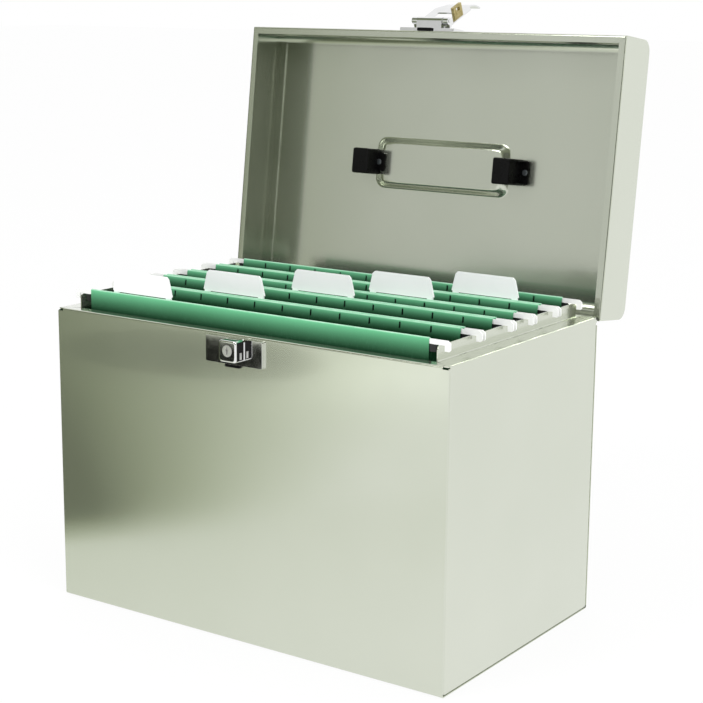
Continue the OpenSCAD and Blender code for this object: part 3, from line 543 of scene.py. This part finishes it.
def bands(half, step, fine=(), marks=(), least=0.12):
    """Values from -half to half, closer together in the fine bands, and never nearer than least."""
    n = math.ceil(2 * half / step)
    values = {round(-half + 2 * half * k / n, 4) for k in range(n + 1)}
    for low, high, gap in fine:
        values = {v for v in values if not low < abs(v) < high}
        m = math.ceil((high - low) / gap)
        for k in range(m + 1):
            values |= {round(s * (low + (high - low) * k / m), 4) for s in (-1, 1)}
    for mark in marks:
        values |= {mark, -mark}
    ordered = sorted(values)
    kept = [ordered[0]]
    for v in ordered[1:]:
        if v - kept[-1] < least:
            if abs(v) in marks:
                kept[-1] = v
        else:
            kept.append(v)
    return kept


def skin(name, rows, columns, place, thickness, material, left_out=None):
    """A sheet over a grid of rows by columns, placed in millimetres and given its thickness."""
    verts = [place(r, c) * MM for r in rows for c in columns]
    w = len(columns)
    faces = []
    for i in range(len(rows) - 1):
        for j in range(w - 1):
            if left_out:
                mid_row = (rows[i] + rows[i + 1]) / 2
                if left_out(mid_row, (columns[j] + columns[j + 1]) / 2):
                    continue
            a = i * w + j
            faces.append((a, a + 1, a + w + 1, a + w))
    obj = new_object(name, verts, faces, material)
    bm = bmesh.new()
    bm.from_mesh(obj.data)
    loose = [v for v in bm.verts if not v.link_faces]
    bmesh.ops.delete(bm, geom=loose, context="VERTS")
    bm.to_mesh(obj.data)
    bm.free()
    thick = obj.modifiers.new("thickness", "SOLIDIFY")
    thick.thickness = thickness * MM
    thick.offset = 0
    thick.use_even_offset = True
    return bake(obj)


def outside(x, y, shape):
    """Distance from a rectangle with rounded corners, negative inside it."""
    half_x, half_y, r = shape
    qx, qy = abs(x) - half_x + r, abs(y) - half_y + r
    return math.hypot(max(qx, 0), max(qy, 0)) + min(max(qx, qy), 0) - r


def round_rect(low, high, r, inset=0.0, steps=4):
    """Outline of a rectangle with rounded corners, anticlockwise."""
    x0, y0, x1, y1 = low[0] + inset, low[1] + inset, high[0] - inset, high[1] - inset
    points = []
    for cx, cy, start in ((x1 - r, y1 - r, 0), (x0 + r, y1 - r, 90),
                          (x0 + r, y0 + r, 180), (x1 - r, y0 + r, 270)):
        for k in range(steps + 1):
            a = math.radians(start + 90 * k / steps)
            points.append((cx + r * math.cos(a), cy + r * math.sin(a)))
    return points


def prism(name, layers, material):
    """A closed solid through the layers, each an outline at a height, in millimetres."""
    verts = [Vector((x, y, z)) * MM for outline, z in layers for x, y in outline]
    n = len(layers[0][0])
    faces = [list(range(n))[::-1]]
    for k in range(len(layers) - 1):
        a, b = k * n, (k + 1) * n
        faces += [[a + i, a + (i + 1) % n, b + (i + 1) % n, b + i] for i in range(n)]
    top = (len(layers) - 1) * n
    faces.append([top + i for i in range(n)])
    return new_object(name, verts, faces, material)


def joined(base, others, operation):
    """The base with the other solids added or cut away."""
    for other in others:
        m = base.modifiers.new("join", "BOOLEAN")
        m.object = other
        m.operation = operation
        m.solver = "EXACT"
        bake(base)
    for other in others:
        bpy.data.objects.remove(other)
    return base


def moved(obj, to, merge=0.0):
    """The solid with its corners moved, and its faces turned outwards again."""
    bm = bmesh.new()
    bm.from_mesh(obj.data)
    if merge:
        bmesh.ops.remove_doubles(bm, verts=bm.verts, dist=merge * MM)
    for v in bm.verts:
        v.co = to(v.co)
    bm.normal_update()
    bmesh.ops.recalc_face_normals(bm, faces=bm.faces)
    bm.to_mesh(obj.data)
    bm.free()
    return obj


def swung(x, y, z):
    """A point of the shut lid, given in millimetres, where the open lid has it."""
    c, s = math.cos(math.radians(LID_OPEN)), math.sin(math.radians(LID_OPEN))
    dy, dz = y - HINGE_Y, z - HINGE_Z
    return Vector((x, HINGE_Y + dy * c + dz * s, HINGE_Z - dy * s + dz * c))


# The lid's ends: the CAD pieces with a bead along the free edge of the weld flange


def flange_bead(side):
    """The rounded free edge of an end's weld flange, along the top of the lid."""
    edge, inside = SIDE - LID_FLANGE, LID_TOP - SHEET
    past, over, down, corner = 0.7, 0.6, 0.4, 0.55
    outline = round_rect((edge - past, inside - SHEET - down), (edge + over, inside), corner)
    reach = (FRONT + SHEET + LID_ROUND, BACK - SHEET - LID_ROUND)
    bead = prism("bead", [(outline, y) for y in reach], FINISH_OF["lid_end_left"])
    return moved(bead, lambda co: swung(side * co.x / MM, co.z / MM, co.y / MM) * MM)


def lid_end(node, side):
    """An end of the lid; side is -1 on the left and 1 on the right."""
    end = joined(clean_copy(node), [flange_bead(side)], "UNION")
    settle(soften(end, 0.34), node)


# The lock: plate with rounded outer edges, and housing with round corners and a side panel painted
# black as painted shade


def round_outer(obj, width, segments):
    """Rounds the edges along the box round a solid, but not those at its back."""
    bm = bmesh.new()
    bm.from_mesh(obj.data)
    low = [min(v.co[k] for v in bm.verts) for k in range(3)]
    high = [max(v.co[k] for v in bm.verts) for k in range(3)]
    near, back = 0.03 * MM, (1, 1)

    def planes(v):
        """The sides of the box that a corner lies on, as (axis, 0 for low or 1 for high)."""
        return {(k, s) for k in range(3) for s, side in ((0, low), (1, high))
                if abs(v.co[k] - side[k]) < near}

    edges = []
    for e in bm.edges:
        shared = planes(e.verts[0]) & planes(e.verts[1])
        if len(shared) == 2 and back not in shared:
            edges.append(e)
    bmesh.ops.bevel(
        bm, geom=edges, offset=width * MM, segments=segments, profile=0.5, affect="EDGES",
        clamp_overlap=True,
    )
    bm.to_mesh(obj.data)
    bm.free()


def lock_plate():
    """The plate on the case, with its outer edges rounded by 1 mm."""
    plate = clean_copy("lock_plate")
    round_outer(plate, 1.0, 5)
    settle(soften(plate, 0.2), "lock_plate")


def rounded_block(node, corner, edge, steps=5):
    """A block as large as a CAD node, round at its corners and along its front edge."""
    low, high = (Vector(v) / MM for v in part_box(node))
    layers = []
    for k in range(steps + 1):
        a = math.radians(90 * k / steps)
        outline = round_rect((low.x, low.z), (high.x, high.z), corner, edge * (1 - math.sin(a)))
        layers.append((outline, low.y + edge * (1 - math.cos(a))))
    layers.append((layers[-1][0], high.y))
    block = prism("rounded", layers, FINISH_OF[node])
    return moved(block, lambda co: (co.x, co.z, co.y))


def lock_case():
    """The bright housing of the lock, with the panel sunk in its right side painted black as
    painted shade.
    """
    corner, edge, sunk = 2.2, 1.25, 0.4
    case = joined(clean_copy("lock_case"), [rounded_block("lock_case", corner, edge)], "INTERSECT")
    soften(case, 0.15)
    # The sunk panel takes black plastic as painted shade, not as the housing's own colour
    case.data.materials.append(PLASTIC)
    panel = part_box("lock_case")[1][0] - sunk * MM
    for p in case.data.polygons:
        if p.normal.x > 0.9 and abs(p.center.x - panel) < sunk / 2 * MM:
            p.material_index = 1
    settle(case, "lock_case")


# The files' bars: the CAD pieces with dark tongues at the ends of the strip, painted shade between
# card and rail


def with_shade_tongues(obj, y):
    """Adds dark tongues at the ends of the strip, painted shade that shows between the card and the
    rail.
    """
    low, high, corner = (153.0, BAR_TOP - BAR_H + 1.0), (161.8, RAIL_TOP), 1.5
    outline = round_rect(low, high, corner)
    half = 0.4 * BAR_T
    bm = bmesh.new()
    bm.from_mesh(obj.data)
    for side in (-1, 1):
        # The tongues lie short of the hooks, so they take the finish's painted shade
        tongue = prism("tongue", [(outline, -half), (outline, half)], WHITE)
        moved(tongue, lambda co: (side * co.x, y * MM + co.z, co.y))
        bm.from_mesh(tongue.data)
        bpy.data.objects.remove(tongue)
    bm.to_mesh(obj.data)
    bm.free()


def hung(n):
    """Where the front and the rear bar of a file hang."""
    front = HANG[n - 1] + (PAIR if n > FILES[0] else 0)
    rear = HANG[n] - (PAIR if n < FILES[-1] else 0)
    return front, rear


# Pieces that keep their CAD shape, with the radius of their edges in millimetres

for name, width in {
    "case_wrap": 0.12,
    "case_end_left": 0.12,
    "case_end_right": 0.12,
    "hinge_leaf_case": 0.1,
    "hinge_leaf_lid": 0.1,
    "lock_cylinder": 0.25,
    "lock_bolt": 0.2,
    "lock_pad": 0.6,
    "hasp_base": 0.5,
    "hasp_strap": 0.35,
    "hasp_staple": 0.4,
    "hasp_pad": 0.6,
    "carry_handle": 1.2,
    "handle_stops": 0.3,
}.items():
    dressed(name, width)

lid_end("lid_end_left", -1)
lid_end("lid_end_right", 1)
lock_plate()
lock_case()

for n in FILES:
    for bar, y in zip(("front", "rear"), hung(n)):
        with_shade_tongues(dressed(f"file_{n}_{bar}_bar", 0.18), y)
    dressed(f"file_{n}_tab", 0.12)
    dressed(f"file_{n}_label", 0.05, 1)


# Lid wrap: one sheet bent round the front, top and back, with the recess pressed into it


def pressed(x, y):
    """How far the recess is pressed in, from 0 on the top to 1 on its floor and its two seats."""
    past_edge, past_floor = outside(x, y, RECESS), outside(x, y, RECESS_FLOOR)
    if past_edge >= 0:
        t = 0.0
    elif past_floor <= 0:
        t = 1.0
    else:
        t = past_edge / (past_edge - past_floor)
    eased, round_share = t * t * (3 - 2 * t), 0.65
    wall = (1 - round_share) * t + round_share * eased
    margin, slope = 0.6, 0.9
    seat = (SEAT_R + margin - math.hypot(abs(x) - SEAT_X, y)) / slope
    return max(wall, min(1.0, max(0.0, seat)))


def lid_wrap():
    mid, bend, near = SHEET / 2, LID_ROUND - SHEET / 2, 0.01
    # The section of the sheet, from the front rim round the top to the low back edge
    line = bent(
        [
            (FRONT + LID_RIM, LID_Z + mid),
            (FRONT + mid, LID_Z + mid),
            (FRONT + mid, LID_TOP - mid),
            (BACK - mid, LID_TOP - mid),
            (BACK - mid, HINGE_Z + 2.5),
        ],
        [RIM_BEND, bend, bend],
        7,
    )
    # Rows and columns lie close together on the seats and the slopes of the recess
    coarse, slope = 7, 0.55
    across = bands(BACK - LID_ROUND - 0.5, coarse, [(0, 4.2, 0.7), (15, 23, slope)], LEG_SLOT[2:])
    rows = divided(line, 12, [(0, y) for y in across])
    rows = [r for i, r in enumerate(rows) if i == 0 or (r - rows[i - 1]).length > 0.05]
    columns = bands(SIDE - near, coarse, [(55.5, 67.2, slope)], LEG_SLOT[:2])

    def place(r, x):
        y, z = r
        if z > LID_TOP - SHEET - near:
            z -= RECESS_DEPTH * pressed(x, y)
        # The rim is mitred at its ends, and the low back edge stands clear of the case's ends
        if z < LID_Z + 2 * SHEET and y < 0:
            x *= (SIDE - (y - FRONT) - 0.05) / SIDE
        if z < LID_Z + 1 and y > 0:
            y += 0.03
        return swung(x, y, z)

    def slots(r, x):
        return LEG_SLOT[0] < abs(x) < LEG_SLOT[1] and abs(r[0]) < LEG_SLOT[2]

    obj = skin("lid_wrap_finished", rows, columns, place, SHEET, ENAMEL, slots)
    smooth(obj, 38)
    settle(obj, "lid_wrap")


lid_wrap()


# Handle sockets: a moulded housing with flanges, hollow for the handle's leg


def slab(x, y, z, corner):
    """An upright block of black plastic with round corners, from its ranges."""
    outline = round_rect((x[0], y[0]), (x[1], y[1]), corner)
    return prism("slab", [(outline, level) for level in z], PLASTIC)


def handle_socket(node, side):
    """The socket on one side of the lid, -1 on the left and 1 on the right."""
    # Places in the shut lid, with x from its middle outwards; leg is where the hollow begins
    inner, leg, outer, half = 61.0, 66.6, 77.5, 10.8
    corner, wall, flange, height = 1.5, 1.6, 2.5, 23
    top = LID_TOP - SHEET
    low = top - height
    step = top - RECESS_DEPTH - 0.05
    width = (-half, half)

    def foot(inset, round_to):
        """The outline of the housing, drawn in by the inset."""
        return round_rect((inner, -half), (outer, half), round_to, inset)

    layers = [(foot(1.5, 0.6), low), (foot(0.5, 1.0), low + 0.5)]
    layers += [(foot(0, corner), z) for z in (low + 1.8, step)]
    body = prism(node + "_finished", layers, PLASTIC)
    behind_recess = slab((leg - 0.2, outer), width, (step - 2, top), corner)
    outer_flange = slab((outer - 3, outer + 6.5), (1 - half, half - 1), (top - flange, top), corner)
    inner_flange = slab((inner - 6, inner + 3), (3 - half, half - 3), (step - flange, step), corner)
    ribs = [
        slab((outer - 1, outer + 3), (y - 0.5, y + 0.5), (low + 8, top - 0.3), 0.2)
        for y in (1.8 - half, half - 1.8)
    ]
    joined(body, [behind_recess, outer_flange, inner_flange] + ribs, "UNION")
    hollow = slab((leg, outer - wall), (wall - half, half - wall), (low + wall, top + 3), 0.4)
    joined(body, [hollow], "DIFFERENCE")
    moved(body, lambda co: swung(side * co.x / MM, co.y / MM, co.z / MM) * MM, merge=0.01)
    settle(soften(body, 0.6, 3, 40), node)


handle_socket("handle_socket_right", 1)
handle_socket("handle_socket_left", -1)


# Files: one card each, hemmed round both bars


def file_card(n):
    front, rear = hung(n)
    middle = (front + rear) / 2
    hem_low = FILE_TOP - HEM - 2
    roll, reach, wave_size = 1.1, 2, 2.4
    arc = [k * math.pi / 8 for k in range(9)]

    def fold(bar):
        """The arc over a bar, from its back to its front."""
        return [Vector((bar + HEM_R * math.cos(a), FOLD_Z + HEM_R * math.sin(a))) for a in arc]

    corners = [
        (front - HEM_R, hem_low), (middle - 2, FILE_LOW), (middle + 2, FILE_LOW),
        (rear + HEM_R, hem_low),
    ]
    # The section of the card, from the front hem's free edge round to the rear one's
    line = [Vector((front + HEM_R, FILE_TOP - HEM))] + fold(front)
    line += bent(corners, [1, 1], 3)
    line += fold(rear) + [Vector((rear - HEM_R, FILE_TOP - HEM))]
    rows = divided(line, 11, [(1, SLOT_Z - SLOT_H / 2), (1, SLOT_Z + SLOT_H / 2)])
    slots = [SLOT_PITCH * k for k in range(-5, 6)]
    edges = [round(abs(abs(k) + s * SLOT_W / 2), 4) for k in slots for s in (-1, 1)]
    columns = bands(FILE_W / 2, 9, (), edges)

    def flap(y):
        """1 on the hem's flap behind the front bar, -1 on that before the rear bar, else 0."""
        if front < y < front + reach:
            return 1
        return -1 if rear - reach < y < rear else 0

    def place(r, x):
        y, z = r
        if z < FOLD_Z:
            y += flap(y) * roll * math.sin(math.pi * min(1.0, (FOLD_Z - z) / HEM))
        sag = min(1.0, max(0.0, (hem_low - z) / 60)) * min(1.0, max(0.0, (z - FILE_LOW) / 30))
        wave = noise.noise(Vector((x * 0.011 + 7.3 * n, 0.0, z * 0.012))) * wave_size
        return Vector((x, y + wave * sag, z))

    def cut_through(r, x):
        if abs(r[1] - SLOT_Z) > SLOT_H / 2 or not flap(r[0]):
            return False
        return any(abs(x - k) < SLOT_W / 2 for k in slots)

    name = f"file_{n}_card"
    obj = skin(name + "_finished", rows, columns, place, CARD_T, CARD, cut_through)
    smooth(obj, 50)
    settle(obj, name)


for n in FILES:
    file_card(n)


# Rivets and pins: one turned shape set out where the CAD has its rivets


def separate_solids(node):
    """Each separate solid of a CAD node as (centre, corners, faces)."""
    bm = bmesh.new()
    bm.from_mesh(frame["nodes"][node].data)
    clean(bm)
    seen, solids = set(), []
    for v in bm.verts:
        if v in seen:
            continue
        stack, group = [v], []
        seen.add(v)
        while stack:
            w = stack.pop()
            group.append(w)
            for e in w.link_edges:
                o = e.other_vert(w)
                if o not in seen:
                    seen.add(o)
                    stack.append(o)
        low = Vector([min(w.co[k] for w in group) for k in range(3)])
        high = Vector([max(w.co[k] for w in group) for k in range(3)])
        centre = (low + high) / 2
        number = {w: i for i, w in enumerate(group)}
        faces = [[number[w] for w in f.verts] for f in bm.faces if f.verts[0] in number]
        solids.append((centre, [w.co - centre for w in group], faces))
    bm.free()
    return solids


def repeat_tree():
    """Node group that sets one piece out on every point, as plain faces with its finish."""
    tree = bpy.data.node_groups.new("piece_on_every_point", "GeometryNodeTree")
    face = tree.interface
    face.new_socket("Geometry", in_out="INPUT", socket_type="NodeSocketGeometry")
    piece = face.new_socket("Piece", in_out="INPUT", socket_type="NodeSocketObject")
    finish = face.new_socket("Finish", in_out="INPUT", socket_type="NodeSocketMaterial")
    face.new_socket("Geometry", in_out="OUTPUT", socket_type="NodeSocketGeometry")
    start, end = tree.nodes.new("NodeGroupInput"), tree.nodes.new("NodeGroupOutput")
    info = tree.nodes.new("GeometryNodeObjectInfo")
    spread = tree.nodes.new("GeometryNodeInstanceOnPoints")
    real = tree.nodes.new("GeometryNodeRealizeInstances")
    paint = tree.nodes.new("GeometryNodeSetMaterial")
    links = tree.links
    links.new(start.outputs["Geometry"], spread.inputs["Points"])
    links.new(start.outputs["Piece"], info.inputs["Object"])
    links.new(info.outputs["Geometry"], spread.inputs["Instance"])
    links.new(spread.outputs["Instances"], real.inputs["Geometry"])
    links.new(real.outputs["Geometry"], paint.inputs["Geometry"])
    links.new(start.outputs["Finish"], paint.inputs["Material"])
    links.new(paint.outputs["Geometry"], end.inputs["Geometry"])
    return tree, piece.identifier, finish.identifier


REPEAT, PIECE_INPUT, FINISH_INPUT = repeat_tree()


def set_out(name, piece, places, material):
    """Copies of a piece at the places, as one plain mesh."""
    mesh = bpy.data.meshes.new(name)
    mesh.from_pydata([tuple(p) for p in places], [], [])
    obj = bpy.data.objects.new(name, mesh)
    bpy.context.scene.collection.objects.link(obj)
    nodes = obj.modifiers.new("repeat", "NODES")
    nodes.node_group = REPEAT
    nodes[PIECE_INPUT] = piece
    nodes[FINISH_INPUT] = material
    return bake(obj)


def rivets(node, width):
    """The rivets of a node: like ones are one shape, set out by the node group."""
    material = FINISH_OF[node]
    kinds = {}
    for centre, corners, faces in separate_solids(node):
        size = tuple(round(max(c[k] for c in corners) / MM, 1) for k in range(3))
        kinds.setdefault(size, []).append((centre, corners, faces))
    rows = []
    for number, group in enumerate(kinds.values()):
        one = new_object(f"{node}_one_{number}", group[0][1], group[0][2], material)
        soften(one, width, 3)
        rows.append(set_out(f"{node}_row_{number}", one, [g[0] for g in group], material))
        bpy.data.objects.remove(one)
    whole = rows[0]
    whole.name = node + "_finished"
    bm = bmesh.new()
    for row in rows:
        bm.from_mesh(row.data)
    bm.to_mesh(whole.data)
    bm.free()
    for row in rows[1:]:
        bpy.data.objects.remove(row)
    settle(whole, node)


for name, width in {
    "lock_rivets": 0.35,
    "hasp_rivets": 0.35,
    "socket_rivets": 0.5,
    "hasp_pin": 0.25,
    "hinge_pin": 0.25,
}.items():
    rivets(name, width)


# Floor, room, lamps and camera


def spot(f, x, y, centre, radii):
    """The square of how far a point of the floor is from a centre, counted in radii."""
    squares = []
    for value, middle, radius in zip((x, y), centre, radii):
        off = f.math("DIVIDE", f.math("SUBTRACT", value, middle), radius)
        squares.append(f.math("MULTIPLY", off, off))
    return f.math("ADD", *squares)


def cards_on_floor(f, x, y):
    """A dark card, with a bright rim, and a bright card, which only the reflections show."""
    dark = spot(f, x, y, *DARK_CARD)
    rim = f.spread(dark, 1.5, 1.0, 1.5, 4.5)
    bright = f.spread(spot(f, x, y, *BRIGHT_CARD), 1.35, 1.0)
    shade = f.math("MULTIPLY", f.spread(dark, 0.02, 1.0, 0.9, 1.25), rim)
    return f.math("MULTIPLY", shade, bright)


def floor_in_reflections(f, x, y):
    """White near the box, and past a slanting edge the room, which darkens to the left."""
    left = f.math("MULTIPLY", x, -1.0)
    # How far to the left a point lies, as seen from just in front of the box's middle
    ahead = f.math("MAXIMUM", f.math("SUBTRACT", -0.05, y), 0.03)
    room = f.spread(f.math("DIVIDE", left, ahead), 1.0, ROOM_DARK, 0.36, 1.22)
    # How far a point lies past the edge: the edge goes through this place, square to this way
    edge_place, edge_way = (-0.28, -0.21), (-0.803, -0.596)
    past = f.math("ADD", *(
        f.math("MULTIPLY", f.math("SUBTRACT", value, place), way)
        for value, place, way in zip((x, y), edge_place, edge_way)
    ))
    sheet = f.spread(left, 1.0, 0.78, -0.1, 0.5)
    return f.between(f.spread(past, 0, 1, -0.02, 0.06), sheet, room)


def floor_material():
    """White sheet; in reflections it ends, and the room behind it shows."""
    f = Finish("studio_floor")
    f.set(Roughness=0.6)
    f.colour(f.mix(f.noise(3, 2), (0.90, 0.90, 0.90), (0.94, 0.94, 0.94)))
    path = f.node("ShaderNodeLightPath")
    x, y, _ = f.axes(f.place)
    level = floor_in_reflections(f, x, y)
    mirrored = f.node("ShaderNodeEmission")
    f.feed(f.math("MULTIPLY", level, cards_on_floor(f, x, y)), mirrored.inputs["Strength"])
    f.feed(f.mix(level, DIM_FLOOR, WHITE_LIGHT), mirrored.inputs["Color"])
    glow = f.node("ShaderNodeEmission", Strength=1.0)
    plain = f.bsdf.outputs[0]
    to_camera = f.shader(0.9, plain, glow.outputs[0])
    shown = f.shader(path.outputs["Is Camera Ray"], plain, to_camera)
    shown = f.shader(path.outputs["Is Glossy Ray"], shown, mirrored.outputs[0])
    f.link(shown, f.nodes["Material Output"].inputs["Surface"])
    return f.mat


def floor():
    """A large sheet just under the box."""
    half, low = 15, -0.5 * MM
    corners = [(x, y, low) for x, y in ((-half, -half), (half, -half), (half, half), (-half, half))]
    sheet = new_object("floor", corners, [(0, 1, 2, 3)], floor_material())


def studio_world():
    """White to the eye and as light; in reflections a room, dimmer in front and to the left."""
    world = bpy.data.worlds.new("studio")
    bpy.context.scene.world = world
    world.use_nodes = True
    w = Nodes(world.node_tree)
    path = w.node("ShaderNodeLightPath")
    towards = w.node("ShaderNodeTexCoord").outputs["Generated"]
    x, y, z = w.axes(towards)

    def ramp(value, start, end, low, high):
        return w.spread(value, low, high, start, end, "SMOOTHSTEP")

    in_front = ramp(y, -0.20, 0.04, 1.0, 0.0)
    low_down = ramp(z, 0.82, 0.95, 1.0, 0.0)
    leftward = ramp(x, -0.74, -0.51, ROOM_SIDE, ROOM_FRONT)
    ahead = w.between(ramp(z, 0.25, 0.5, 0.0, 1.0), leftward, ROOM_HIGH)
    room = w.between(w.math("MULTIPLY", in_front, low_down), 1.0, ahead)
    camera_way = Vector((0.60, -0.79, 0.12)).normalized()
    from_camera = w.node("ShaderNodeVectorMath", operation="DOT_PRODUCT")
    w.link(towards, from_camera.inputs[0])
    from_camera.inputs[1].default_value = camera_way
    camera_spot = ramp(from_camera.outputs["Value"], 0.86, 0.95, 1.0, ROOM_SPOT)
    mirrored = w.math("MULTIPLY", room, camera_spot)
    lit = w.between(path.outputs["Is Glossy Ray"], WORLD_LEVEL, mirrored)
    seen = w.math("MAXIMUM", path.outputs["Is Camera Ray"], path.outputs["Is Transmission Ray"])
    level = w.between(seen, lit, 1.0)
    background = w.nodes["Background"]
    w.link(level, background.inputs["Strength"])
    tint = w.mix(ramp(level, 0.0, 0.75, 0.0, 1.0), DIM_ROOM, WHITE_LIGHT)
    w.link(tint, background.inputs["Color"])


def lamp(name, place, target, size, power):
    """A square lamp at a place, turned to a target."""
    data = bpy.data.lights.new(name, "AREA")
    data.shape = "SQUARE"
    data.size = size
    data.energy = power
    obj = bpy.data.objects.new(name, data)
    bpy.context.scene.collection.objects.link(obj)
    obj.location = place
    obj.rotation_mode = "QUATERNION"
    obj.rotation_quaternion = (Vector(target) - Vector(place)).to_track_quat("-Z", "Y")


def camera():
    """The camera at its place, turned and rolled as in the photograph."""
    data = bpy.data.cameras.new("camera")
    obj = bpy.data.objects.new("camera", data)
    bpy.context.scene.collection.objects.link(obj)
    bpy.context.scene.camera = obj
    data.sensor_width = SENSOR
    data.lens = FOCAL / PICTURE * SENSOR
    data.clip_start, data.clip_end = 0.05, 50
    to_eye = Vector((
        math.sin(CAM_AZ) * math.cos(CAM_PITCH),
        -math.cos(CAM_AZ) * math.cos(CAM_PITCH),
        math.sin(CAM_PITCH),
    ))
    right = Vector((math.cos(CAM_AZ), math.sin(CAM_AZ), 0))
    up = to_eye.cross(right)
    rolled_right = right * math.cos(CAM_ROLL) + up * math.sin(CAM_ROLL)
    rolled_up = up * math.cos(CAM_ROLL) - right * math.sin(CAM_ROLL)
    turn = Matrix((rolled_right, rolled_up, to_eye)).transposed()
    obj.rotation_mode = "QUATERNION"
    obj.rotation_quaternion = turn.to_quaternion()
    obj.location = CAM_PLACE


floor()
studio_world()
lamp("key", (1.6, -0.6, 1.3), (0, 0, 0.2), 1.2, 14)
lamp("front_fill", (-0.75, -1.95, 2.1), (0, 0, 0.15), 1.0, 20)
camera()
bpy.context.scene.view_settings.view_transform = "Standard"
